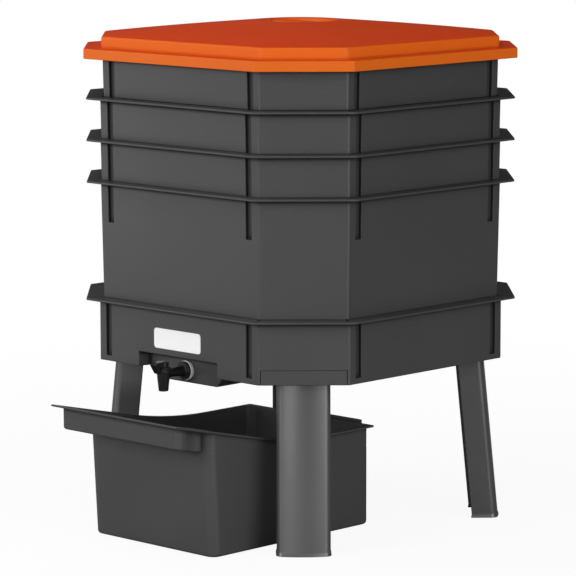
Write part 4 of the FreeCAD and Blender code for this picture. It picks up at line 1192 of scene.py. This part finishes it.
@dataclass
class LegSocket:
    """Socket block that fills a corner of the sump and takes a leg's top."""

    side: LegSide
    inner: float = 187.0
    outer: float = 244.1
    half: float = 50.4
    bottom: float = 203.9
    height: float = 17.5
    edge: float = 1.0
    gap: float = 0.4
    face_corner: float = 0.8
    pocket_corner: float = 0.5
    leg: Leg = field(default_factory=lambda: Leg(LegSide.FRONT))

    def build(self, bench: Bench, finish: bpy.types.Material) -> bpy.types.Object:
        """Make the block with soft edges round its face, and cut the leg's pocket out of it.

        Args:
            bench: where it is made.
            finish: its material.

        Returns:
            The socket.
        """
        reach, inset = edge_rows(self.inner, self.outer, self.edge)
        upright = soft_box(self.half - inset, self.height / 2 - inset, reach,
                           np.full_like(reach, self.face_corner), runs=2)
        # The stack of rectangles is laid down so that its rows run outwards
        block = np.stack([upright[..., 2], upright[..., 0],
                          upright[..., 1] + self.bottom + self.height / 2], axis=-1)
        word = self.side.word
        mesh = bench.mesh("socket", turned(block, self.side.value))
        lean = math.tan(math.radians(self.leg.splay))
        levels = np.array([self.bottom - 1, self.leg.top])
        depth = self.leg.depth + self.leg.crown + 2 * self.gap
        half_y = np.full(2, self.leg.width / 2 + self.gap)
        pocket = soft_box(np.full(2, depth / 2), half_y, levels, np.full(2, self.pocket_corner), runs=2)
        pocket[..., 0] += self.leg.foot - self.gap + depth / 2 - levels[:, None] * lean
        mesh = carved(mesh, bench.mesh("pocket", turned(pocket, self.side.value)), Carve.CUT)
        return bench.piece(f"leg_socket_{word}_moulding", mesh, finish, Body.STAND, "socket_shell",
                           f"leg_socket_{word}")


@dataclass
class Label:
    """Bare film label on the sump's front wall."""

    low: float = 229.8
    height: float = 24.2
    width: float = 79.0
    thick: float = 0.6
    corner: float = 4.0
    wall: float = 210.3

    def build(self, bench: Bench, finish: bpy.types.Material) -> bpy.types.Object:
        """Make the film as a thin plate with round corners and a soft outer edge.

        Args:
            bench: where it is made.
            finish: its material.

        Returns:
            The label.
        """
        levels = self.wall + np.array([-0.05, self.thick - 0.2, self.thick - 0.06, self.thick])
        inset = np.array([0.0, 0.0, 0.08, 0.3])
        plate = soft_box(self.width / 2 - inset, self.height / 2 - inset, levels, self.corner - inset, runs=8)
        plate = laid_forward(plate) + np.array([0.0, 0.0, self.low + self.height / 2])
        mesh = bench.mesh("label", plate)
        return bench.piece("label_film", mesh, finish, Body.STAND, "label_film", "label")


@dataclass
class DrainTap:
    """Drain tap with its washer and lever; the parts behind the wall keep their CAD shapes."""

    axis: float = 204.8
    panel: float = 194.3
    barrel: float = 233.6
    barrel_radius: float = 8.9
    spout_radius: float = 5.9
    spout_drop: float = 20.4
    bore: float = 4.0
    seat: float = 5.5
    seat_drop: float = 14.0
    barrel_up: float = 8.2
    collar_radius: float = 11.1
    collar_thick: float = 3.3
    washer_radius: float = 11.7
    washer_thick: float = 4.2
    tail_radius: float = 7.8
    tail_length: float = 15.0
    ridges: int = 14
    ridge_start: float = 1.0
    ridge_step: float = 0.75
    ridge_depth: float = 0.6
    stem_wide: float = 5.8
    stem_slim: float = 4.9
    lever_radius: float = 6.5
    lever_height: float = 7.2
    lever_width: float = 10.0
    lever_gap: float = 0.3
    square_half: float = 3.1
    square_corner: float = 0.2

    def barrel_profile(self) -> list[tuple[float, float]]:
        """Closed profile of barrel and spout: up outside, over the top, down the seat and the bore.

        Returns:
            Pairs of radius and height.
        """
        mouth, top = self.axis - self.spout_drop, self.axis + self.barrel_up
        r, s = self.barrel_radius, self.spout_radius
        return [(self.bore, mouth + 0.3), (self.bore + 0.3, mouth), (s - 0.8, mouth), (s - 0.2, mouth + 0.3),
                (s, mouth + 0.9), (r - 1.0, self.axis + 0.2), (r - 0.8, self.axis + 1.0),
                (r - 0.15, self.axis + 1.3), (r, self.axis + 1.6), (r, self.axis + 3.0),
                (r - 0.35, self.axis + 3.3), (r - 0.35, self.axis + 3.8), (r, self.axis + 4.1),
                (r, self.axis + 6.0), (r - 0.35, self.axis + 6.3), (r - 0.35, self.axis + 6.8),
                (r - 0.1, top - 1.0), (r - 0.4, top - 0.3), (r - 1.0, top), (self.seat + 0.3, top),
                (self.seat, top - 0.3), (self.seat, self.axis - self.seat_drop),
                (self.bore, self.axis - self.seat_drop)]

    def stem_profile(self) -> list[tuple[float, float]]:
        """Profile of tail, collar and stem along the tap's own axis, from the tail's end forwards.

        Returns:
            Pairs of radius and place along the axis.
        """
        front = self.panel + self.washer_thick
        collar = front + self.collar_thick
        tail = self.panel - self.tail_length
        ridges = [(self.tail_radius - (self.ridge_depth if i % 2 else 0.0),
                   tail + self.ridge_start + self.ridge_step * i) for i in range(self.ridges)]
        c, w, s = self.collar_radius, self.stem_wide, self.stem_slim
        return [(SLIVER, tail), (self.tail_radius - 0.8, tail)] + ridges + [
            (self.tail_radius, front), (c - 0.5, front), (c, front + 0.5), (c, collar - 0.9),
            (c - 0.9, collar), (w + 2.4, collar), (w + 1.6, collar + 0.3), (w + 0.4, collar + 1.0),
            (w, collar + 2.0), (w - 0.1, collar + 8.0), (s + 0.2, self.barrel - self.barrel_radius - 3.0),
            (s + 0.6, self.barrel - self.barrel_radius - 0.8), (s + 0.6, self.barrel - 6.6),
            (SLIVER, self.barrel - 6.6)]

    def lever_grid(self) -> np.ndarray:
        """Lever's thumb piece: an outline of y and z carried across its width.

        Returns:
            Array of rows across x, points of the outline and x, y, z.
        """
        foot = self.axis + self.barrel_up + self.lever_gap
        top, front = foot + self.lever_height, -self.barrel
        outline = np.array([
            [front + 1.0, foot + 0.4], [front + 1.0, top - 0.3], [front - 5.0, top],
            [front - 10.0, top - 0.4], [front - 15.4, top - 1.0], [front - 16.8, top - 1.5],
            [front - 17.6, top - 2.6], [front - 17.4, top - 4.2], [front - 16.4, top - 5.4],
            [front - 10.8, foot - 7.0], [front - 9.8, foot - 7.4], [front - 9.5, foot - 6.6],
            [front - 9.5, foot + 0.1], [front - 9.1, foot + 0.4]])
        centre = outline.mean(axis=0)
        half = self.lever_width / 2
        across = np.array([-half, -half + 0.25, -half + 1.0, half - 1.0, half - 0.25, half])
        shrink = np.array([0.86, 0.95, 1.0, 1.0, 0.95, 0.86])
        flat = centre + (outline - centre)[None] * shrink[:, None, None]
        x = np.broadcast_to(across[:, None], flat.shape[:2])
        return np.concatenate([x[..., None], flat], axis=2)

    def build(self, bench: Bench, finishes: Finishes, nodes: dict[str, bpy.types.Object]) -> None:
        """Make body, lever and outer washer, and finish the hidden CAD parts.

        Args:
            bench: where they are made.
            finishes: the object's finishes.
            nodes: CAD nodes of the frame.
        """
        barrel = lathe(self.barrel_profile(), 48) + np.array([0.0, -self.barrel, 0.0])
        body = bench.mesh("tap_barrel", barrel, loop_rows=True)
        stem = laid_forward(lathe(self.stem_profile(), 40)) + np.array([0.0, 0.0, self.axis])
        body = carved(body, bench.mesh("tap_stem", stem), Carve.JOIN)
        bench.piece("tap_body_moulding", body, finishes.tap, Body.STAND, "tap_plastic", "tap_body")

        foot = self.axis + self.barrel_up + self.lever_gap
        r = self.lever_radius
        top = foot + self.lever_height
        boss = lathe([(SLIVER, foot), (r - 0.5, foot), (r, foot + 0.5), (r, top - 0.9), (r - 0.9, top),
                      (SLIVER, top)], 40)
        lever = bench.mesh("lever_boss", boss + np.array([0.0, -self.barrel, 0.0]))
        lever = carved(lever, bench.mesh("lever_thumb", self.lever_grid()), Carve.JOIN)
        levels = np.array([foot - 1.0, foot + 4.6])
        half = np.full(2, self.square_half)
        socket = soft_box(half, half, levels, np.full(2, self.square_corner), (0.0, -self.barrel), 2)
        lever = carved(lever, bench.mesh("lever_socket", socket), Carve.CUT)
        bench.piece("tap_lever_moulding", lever, finishes.tap, Body.VALVE, "tap_plastic", "tap_lever")

        w, h = self.washer_radius, self.tail_radius + 0.2
        low, high = self.panel + 0.02, self.panel + self.washer_thick - 0.02
        ring = lathe([(h, low), (w - 0.3, low), (w, low + 0.3), (w, high - 0.4), (w - 0.4, high),
                      (h, high)], 48)
        ring = laid_forward(ring) + np.array([0.0, 0.0, self.axis])
        washer = bench.mesh("washer", ring, loop_rows=True)
        bench.piece("tap_washer_outer_ring", washer, finishes.white_washer, Body.STAND, "washer_white",
                    "tap_washer_outer")
        for name, finish in (("tap_core", finishes.tap), ("tap_nut", finishes.tap),
                             ("core_seal", finishes.seal), ("tap_washer_inner", finishes.black_washer)):
            nodes[name].data.materials.clear()
            nodes[name].data.materials.append(finish)
            LOG.info("%s keeps its CAD shape", name)


@dataclass
class CollectingTub:
    """Tub whose rim climbs to the front, with a chute that reaches out under the tap."""

    half: float = 103.5
    back: float = 17.4
    front: float = -253.6
    corner: float = 13.0
    wall: float = 2.5
    front_draft: float = 3.0
    foot_round: float = 4.0
    rim_height: float = 122.5
    bend_start: float = 60.0
    bend_radius: float = 587.0
    ramp: float = 12.8
    rim_thick: float = 2.4
    rim_half: float = 107.6
    rim_back: float = 20.2
    rim_front: float = -318.0
    rim_corner: float = 3.0
    chute_front: float = -307.0
    chute_half: float = 101.0
    chute_waist: float = 88.0
    chute_corner: float = 8.0
    chute_ear: float = 4.0
    chute_floor: float = 136.0
    chute_edge: float = 3.0
    upstand_start: float = -50.0
    upstand_end: float = 86.0
    upstand_height: float = 4.5
    upstand_corner: float = 0.4
    upstand_lap: float = 0.02
    nose_flank: float = 30.0
    nose_half: float = 45.0
    neck: float = 10.0
    rim_edge: float = 0.8
    side_runs: int = 30
    back_runs: int = 6
    arc_runs: int = 8
    flank_runs: int = 10

    def rim_level(self, y: np.ndarray) -> np.ndarray:
        """Height of the rim's top: level, then an arc, then a ramp.

        Args:
            y: places along the tub.

        Returns:
            Heights, with the same shape.
        """
        slope = math.radians(self.ramp)
        run = np.clip(-y - self.bend_start, 0.0, None)
        arc_run = self.bend_radius * math.sin(slope)
        arc = self.bend_radius - np.sqrt(self.bend_radius ** 2 - np.minimum(run, arc_run) ** 2)
        return self.rim_height + arc + np.clip(run - arc_run, 0.0, None) * math.tan(slope)

    def arc(self, x: float, y: float, radius: float, start: float) -> np.ndarray:
        """Quarter circle of the body's or the chute's outline, anticlockwise from start degrees."""
        angles = math.radians(start) + np.linspace(0, QUARTER, self.arc_runs + 1)[:-1]
        return np.stack([x + radius * np.cos(angles), y + radius * np.sin(angles)], axis=-1)

    @staticmethod
    def line(start: tuple[float, float], end: tuple[float, float], runs: int) -> np.ndarray:
        """Points of a straight stretch, without its end."""
        t = np.linspace(0.0, 1.0, runs + 1)[:-1, None]
        return np.array(start) * (1 - t) + np.array(end) * t

    def front_runs(self) -> tuple[int, ...]:
        """Columns of the front: left flank, corner, nose, corner, right flank."""
        return (self.flank_runs, self.arc_runs, self.flank_runs, self.arc_runs, self.flank_runs)

    def chute_columns(self) -> slice:
        """Columns of the outline that the chute takes up, after both sides, the back and three corners."""
        start = 2 * self.side_runs + 3 * self.arc_runs + self.back_runs
        return slice(start, start + sum(self.front_runs()))

    def face(self, z: float) -> float:
        """Place along y of the front wall at a height: it leans out by its draft."""
        return self.front - math.tan(math.radians(self.front_draft)) * z

    def body_outline(self, inset: float, z: float) -> np.ndarray:
        """Outline of the body, drawn in by inset; its front has the columns of the chute.

        Args:
            inset: how far it lies inside the outer wall.
            z: height that the front wall's lean is taken at.

        Returns:
            Array of points and x, y.
        """
        h, r = self.half - inset, max(self.corner - inset, 1.0)
        y0, y1 = self.face(z) + inset, self.back - inset
        flank, mid = self.chute_waist - self.nose_flank, self.nose_half
        marks = np.array([r - h, -flank, -mid, mid, flank, h - r])
        nose = [self.line((marks[i], y0), (marks[i + 1], y0), n) for i, n in enumerate(self.front_runs())]
        return np.concatenate([
            self.line((h, y0 + r), (h, y1 - r), self.side_runs), self.arc(h - r, y1 - r, r, 0),
            self.line((h - r, y1), (-h + r, y1), self.back_runs), self.arc(-h + r, y1 - r, r, 90),
            self.line((-h, y1 - r), (-h, y0 + r), self.side_runs), self.arc(-h + r, y0 + r, r, 180)]
            + nose + [self.arc(h - r, y0 + r, r, 270)])

    def mouth_outline(self, inset: float) -> np.ndarray:
        """Outline of body and chute together above the chute's floor, drawn in by inset.

        Args:
            inset: how far it lies inside the outer wall.

        Returns:
            Array of points and x, y.
        """
        outline = self.body_outline(inset, self.chute_floor)
        h, r, waist = self.chute_half - inset, max(self.chute_corner - inset, 0.0), self.chute_waist - inset
        y0, y1 = self.chute_front + inset, self.face(self.chute_floor)
        turn = self.chute_front + self.chute_corner + self.chute_ear - inset
        back, runs = turn + self.chute_ear, self.flank_runs // 2
        left = np.concatenate([self.line((-waist, y1), (-waist, back), runs),
                               self.line((-waist, back), (-h, turn), runs), self.arc(-h + r, y0 + r, r, 180)])
        nose = self.line((-h + r, y0), (h - r, y0), self.flank_runs)
        right = np.concatenate([self.arc(h - r, y0 + r, r, 270), self.line((h, turn), (waist, back), runs),
                                self.line((waist, back), (waist, y1), runs)])
        outline[self.chute_columns()] = np.concatenate([left, nose, right])
        return outline

    def rim_outline(self, inset: float) -> np.ndarray:
        """Outline of the flat rim round body and chute, column by column, drawn in by inset.

        Args:
            inset: how far it lies inside the rim's edge.

        Returns:
            Array of points and x, y.
        """
        h, y0, y1 = self.rim_half - inset, self.rim_front + inset, self.rim_back - inset
        r = self.rim_corner
        body, side = self.half - self.corner, self.front + self.corner
        neck, lap = self.front - self.neck, self.chute_front + self.chute_corner

        def corner(x: float, y: float, start: float, entry: tuple[float, float],
                   leave: tuple[float, float]) -> np.ndarray:
            """Round corner of the rim, with as many columns as the corner of the body under it.

            Args:
                x: middle of the arc.
                y: middle of the arc.
                start: degrees at which the quarter circle starts.
                entry: point that the corner starts from.
                leave: point that the next stretch starts from.

            Returns:
                Array of points and x, y.
            """
            quarter = math.radians(start) + np.linspace(0, QUARTER, self.arc_runs - 3)
            bow = np.stack([x + r * np.cos(quarter), y + r * np.sin(quarter)], axis=-1)
            late = (np.array(leave) + bow[-1]) / 2
            return np.concatenate([[entry], (bow[:1] + entry) / 2, bow, [late]])

        return np.concatenate([
            self.line((h, side), (h, self.back - self.corner), self.side_runs),
            corner(h - r, y1 - r, 0, (h, self.back - self.corner), (body, y1)),
            self.line((body, y1), (-body, y1), self.back_runs),
            corner(-h + r, y1 - r, 90, (-body, y1), (-h, self.back - self.corner)),
            self.line((-h, self.back - self.corner), (-h, side), self.side_runs),
            self.line((-h, side), (-h, neck), self.arc_runs),
            self.line((-h, neck), (-h, lap), self.flank_runs),
            corner(-h + r, y0 + r, 180, (-h, lap), (-self.chute_half + self.chute_corner, y0)),
            self.line((-self.chute_half + self.chute_corner, y0), (self.chute_half - self.chute_corner, y0),
                      self.flank_runs),
            corner(h - r, y0 + r, 270, (self.chute_half - self.chute_corner, y0), (h, lap)),
            self.line((h, lap), (h, neck), self.flank_runs),
            self.line((h, neck), (h, side), self.arc_runs)])

    def rows(self) -> list[np.ndarray]:
        """Rows of the tub: underside, outer walls, chute, rim, and the same way down inside.

        Each row is an outline with a height for every column: a constant near the floor, a distance
        under the climbing rim higher up, and in the chute's columns a floor that climbs with the ramp.

        Returns:
            Arrays of columns and x, y, z.
        """
        chute = np.zeros(len(self.body_outline(0.0, 0.0)), dtype=bool)
        chute[self.chute_columns()] = True
        slope = math.tan(math.radians(self.ramp))
        top = self.chute_floor
        root = top - (self.face(top) - self.chute_front) * slope
        under = float(self.rim_level(np.array(self.face(top)))) - root

        def level(outline: np.ndarray, z: float) -> np.ndarray:
            """Level row."""
            return np.column_stack([outline, np.full(len(outline), z)])

        def below_rim(outline: np.ndarray, drop: float) -> np.ndarray:
            """Row that runs a distance under the climbing rim."""
            return np.column_stack([outline, self.rim_level(outline[:, 1]) - drop])

        def mixed(outline: np.ndarray, drop: float, chute_level: float) -> np.ndarray:
            """Row that runs under the rim, and in the chute's columns climbs from the chute's level.

            Args:
                outline: points and x, y.
                drop: distance under the rim.
                chute_level: height at the chute's front.

            Returns:
                Array of columns and x, y, z.
            """
            row = below_rim(outline, drop)
            row[chute, 2] = chute_level - (outline[chute, 1] - self.chute_front) * slope
            return row

        quarter = np.linspace(0, QUARTER, 6)
        rows = [level(self.body_outline(self.foot_round * (1 - math.sin(a)), 0.0),
                      self.foot_round * (1 - math.cos(a))) for a in quarter]
        rows.append(mixed(self.body_outline(0.0, top), under, self.chute_floor))
        for i, a in enumerate(quarter[::2]):
            rows.append(mixed(self.mouth_outline(self.chute_edge * (1 - math.sin(a))), under - 1.0 - i,
                              self.chute_floor + self.chute_edge * (1 - math.cos(a))))
        mouth = self.mouth_outline(0.0)
        rows[-3][~chute, :2] = rows[-2][~chute, :2] = rows[-1][~chute, :2]
        # The three points of each soft edge: its start, a point a third of the way in, and its end
        thick, soft, near = self.rim_thick, self.rim_edge, self.rim_edge * 0.3
        under_lip = ((soft, thick), (near, thick - near), (0.0, thick - soft))
        over_lip = ((0.0, soft), (near, near), (soft, 0.0))
        rows.append(below_rim(mouth, thick))
        rows += [below_rim(self.rim_outline(inset), drop) for inset, drop in under_lip + over_lip]
        rows += [below_rim(self.mouth_outline(self.wall - inset), drop) for inset, drop in over_lip[::-1]]
        inner_floor = self.chute_floor + self.wall
        for i, a in enumerate(quarter[::-1][::2]):
            rows.append(mixed(self.mouth_outline(self.wall + self.chute_edge * (1 - math.sin(a))),
                              under - 4.0 + i, inner_floor + self.chute_edge * (1 - math.cos(a))))
            rows[-1][~chute, :2] = self.body_outline(self.wall, top)[~chute]
        inner = self.body_outline(self.wall, top)
        rows += [mixed(inner, under, inner_floor), mixed(inner, under + 1.0, inner_floor - 1.0)]
        rows += [level(self.body_outline(self.wall + self.foot_round * (1 - math.sin(a)), 0.0),
                       self.wall + self.foot_round * (1 - math.cos(a))) for a in quarter[::-1]]
        return rows

    def build(self, bench: Bench, finish: bpy.types.Material) -> bpy.types.Object:
        """Make the tub and join the upstand to its back rim.

        Args:
            bench: where it is made.
            finish: its material.

        Returns:
            The tub.
        """
        mesh = bench.mesh("tub_shell", np.stack(self.rows()))
        levels, inset = edge_rows(self.rim_height - self.rim_thick / 2,
                                  self.rim_height + self.upstand_height, self.rim_edge)
        half = (self.upstand_end - self.upstand_start) / 2
        middle = (self.upstand_end - half, self.rim_back - self.wall / 2 - self.upstand_lap)
        strip = soft_box(half - inset, self.wall / 2 - inset, levels,
                         np.full_like(levels, self.upstand_corner), middle, 2)
        mesh = carved(mesh, bench.mesh("upstand", strip), Carve.JOIN)
        return bench.piece("collecting_tub_moulding", mesh, finish, Body.TUB, "tub_shell", "collecting_tub")


@dataclass(frozen=True)
class Lamp:
    """Soft square lamp: where it stands round the target, its size, and how bright it makes it.

    azimuth is its direction from the target in degrees, from +X anticlockwise, and elevation its
    height above the horizon; distance and size are metres; level is the brightness of a white surface
    that faces it. in_sheen False keeps it out of the plastic's sheen, which would look chalky on the
    roof.
    """

    name: str
    azimuth: float
    elevation: float
    distance: float
    size: float
    level: float
    in_sheen: bool = True

    def hang(self, target: Vector) -> None:
        """Hang the lamp; the power is level pi^2 distance^2, which gives a white surface that radiance.

        Args:
            target: point that it looks at.
        """
        a, e = math.radians(self.azimuth), math.radians(self.elevation)
        away = Vector((math.cos(a) * math.cos(e), math.sin(a) * math.cos(e), math.sin(e)))
        data = bpy.data.lights.new(self.name, "AREA")
        data.shape, data.size = "SQUARE", self.size
        data.energy = self.level * math.pi ** 2 * self.distance ** 2
        item = bpy.data.objects.new(self.name, data)
        item.location = target + away * self.distance
        item.rotation_euler = away.to_track_quat("Z", "Y").to_euler()
        item.visible_glossy = self.in_sheen
        bpy.context.scene.collection.objects.link(item)


@dataclass
class Studio:
    """Pale floor, a plain world and six soft lamps, and the camera at the photograph's angle."""

    azimuth: float = 43.9411
    distance: float = 4.08905
    height: float = 0.87999
    yaw: float = 0.20646
    pitch: float = 8.3030
    roll: float = -0.07356
    focal_pixels: float = 3351.86
    frame_pixels: float = 576.0
    front_level: float = 0.45
    back_level: float = 0.05
    floor_half: float = 30.0
    floor_drop: float = 0.0004
    floor_colour: str = "#9a9a9a"
    shadow_share: float = 0.08
    shadow_reach: tuple[float, float] = (0.5, 1.6)
    room_reach: tuple[float, float] = (-0.3, 0.9)
    room_tilt: float = 0.25
    target: tuple[float, float, float] = (0.0, 0.0, 0.35)
    lamps: tuple[Lamp, ...] = (
        Lamp("key", -95.0, 14.0, 3.0, 1.35, 0.42),
        Lamp("side", -144.0, 6.0, 1.6, 1.0, 0.18),
        Lamp("low", -58.0, -2.9, 3.0, 0.4, 0.06),
        Lamp("fill", -6.0, 12.0, 3.0, 2.0, 0.48),
        Lamp("top", -125.0, 62.0, 2.4, 1.5, 0.3),
        Lamp("back", 145.0, 16.0, 3.0, 2.0, 0.25, in_sheen=False))

    def camera(self, stack_y: float) -> None:
        """Stand the camera where the photograph was taken and look the same way.

        Args:
            stack_y: place of the stack's axis in the row frame.
        """
        azimuth, yaw = math.radians(self.azimuth), math.radians(self.azimuth + self.yaw)
        pitch, roll = math.radians(self.pitch), math.radians(self.roll)
        ahead = Vector((-math.sin(yaw) * math.cos(pitch), math.cos(yaw) * math.cos(pitch), -math.sin(pitch)))
        level = Vector((math.cos(yaw), math.sin(yaw), 0.0))
        above = level.cross(ahead)
        right = level * math.cos(roll) + above * math.sin(roll)
        top = above * math.cos(roll) - level * math.sin(roll)
        spot = Vector((self.distance * math.sin(azimuth), stack_y - self.distance * math.cos(azimuth),
                       self.height))
        data = bpy.data.cameras.new("camera")
        data.sensor_width = 36.0
        data.lens = self.focal_pixels * data.sensor_width / self.frame_pixels
        data.clip_end = 100.0
        camera = bpy.data.objects.new("camera", data)
        axes = Matrix((right, top, -ahead)).transposed().to_4x4()
        camera.matrix_world = Matrix.Translation(spot) @ axes
        bpy.context.scene.collection.objects.link(camera)
        bpy.context.scene.camera = camera

    def floor(self) -> None:
        """White floor in the camera's eyes that keeps a faint shadow, and a greyer one for other light."""
        half, low = self.floor_half, -self.floor_drop
        mesh = bpy.data.meshes.new("floor")
        mesh.from_pydata([(-half, -half, low), (half, -half, low), (half, half, low), (-half, half, low)],
                         [], [(0, 1, 2, 3)])
        item = bpy.data.objects.new("floor", mesh)
        material, tree, output = new_material("studio_floor")
        path = add_node(tree, "ShaderNodeLightPath")
        matt = add_node(tree, "ShaderNodeBsdfDiffuse", {"Color": linear(self.floor_colour)})
        shade = add_node(tree, "ShaderNodeBsdfDiffuse", {"Color": (1.0, 1.0, 1.0, 1.0)})
        glow = add_node(tree, "ShaderNodeEmission", {"Strength": 1.0})
        reach = add_node(tree, "ShaderNodeVectorMath", {
            0: add_node(tree, "ShaderNodeTexCoord").outputs["Object"]}, operation="LENGTH")
        share = add_node(tree, "ShaderNodeMapRange", {
            "Value": reach.outputs["Value"], "From Min": self.shadow_reach[0],
            "From Max": self.shadow_reach[1],
            "To Min": self.shadow_share, "To Max": 0.0})
        seen = add_node(tree, "ShaderNodeMixShader", {
            0: share.outputs["Result"], 1: glow.outputs[0], 2: shade.outputs[0]})
        both = add_node(tree, "ShaderNodeMixShader", {
            0: path.outputs["Is Camera Ray"], 1: matt.outputs[0], 2: seen.outputs[0]})
        tree.links.new(both.outputs[0], output.inputs["Surface"])
        mesh.materials.append(material)
        bpy.context.scene.collection.objects.link(item)

    def world(self) -> None:
        """World that looks white to the camera and lights the object softly."""
        world = bpy.data.worlds.new("studio")
        bpy.context.scene.world = world
        world.use_nodes = True
        tree = world.node_tree
        tree.nodes.clear()
        path = add_node(tree, "ShaderNodeLightPath")
        ahead = math.radians(self.azimuth - 90.0)
        facing = add_node(tree, "ShaderNodeVectorMath", {
            0: add_node(tree, "ShaderNodeTexCoord").outputs["Generated"],
            1: (math.cos(ahead), math.sin(ahead), self.room_tilt)}, operation="DOT_PRODUCT")
        room = add_node(tree, "ShaderNodeMapRange", {
            "Value": facing.outputs["Value"], "From Min": self.room_reach[0],
            "From Max": self.room_reach[1],
            "To Min": self.back_level, "To Max": self.front_level}, interpolation_type="SMOOTHSTEP")
        # Glossy rays are left out: the plastic's sheen shows the room in front, not the white backdrop
        seen = add_node(tree, "ShaderNodeMath", {
            0: path.outputs["Is Camera Ray"], 1: path.outputs["Is Transmission Ray"]}, operation="MAXIMUM")
        level = add_node(tree, "ShaderNodeMapRange", {
            "Value": seen.outputs[0], "To Min": room.outputs["Result"], "To Max": 1.0})
        both = add_node(tree, "ShaderNodeBackground", {
            "Color": (1.0, 1.0, 1.0, 1.0), "Strength": level.outputs["Result"]})
        output = add_node(tree, "ShaderNodeOutputWorld")
        tree.links.new(both.outputs[0], output.inputs["Surface"])

    def build(self, stack_y: float) -> None:
        """Set up the whole studio.

        Args:
            stack_y: place of the stack's axis in the row frame.
        """
        bpy.context.scene.view_settings.view_transform = "Standard"
        self.camera(stack_y)
        self.world()
        self.floor()
        for lamp in self.lamps:
            lamp.hang(Vector(self.target))


def main() -> None:
    """Build the studio and every piece."""
    logging.basicConfig(level=logging.INFO, format="%(name)s: %(message)s")
    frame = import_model()
    low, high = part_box("tray_upper")
    bench = Bench(stack_y=(low.y + high.y) / 2)
    Studio().build(bench.stack_y)
    finishes = Finishes.mixed()
    for tray in (NestingTray("tray_top", Body.TOP_TRAY, rim=574.9, inset=3.2),
                 NestingTray("tray_upper", Body.UPPER_TRAY, rim=524.5),
                 NestingTray("tray_lower", Body.LOWER_TRAY, rim=474.1),
                 DeepTray("tray_bottom", Body.BOTTOM_TRAY, rim=423.7)):
        tray.build(bench, finishes.tray)
    Sump().build(bench, finishes.sump)
    Lid().build(bench, finishes.lid)
    for side in LegSide:
        Leg(side).build(bench, finishes.leg)
        LegSocket(side).build(bench, finishes.sump)
    Label().build(bench, finishes.label)
    DrainTap().build(bench, finishes, frame["nodes"])
    CollectingTub().build(bench, finishes.tub)


if __name__ == "__main__":
    main()
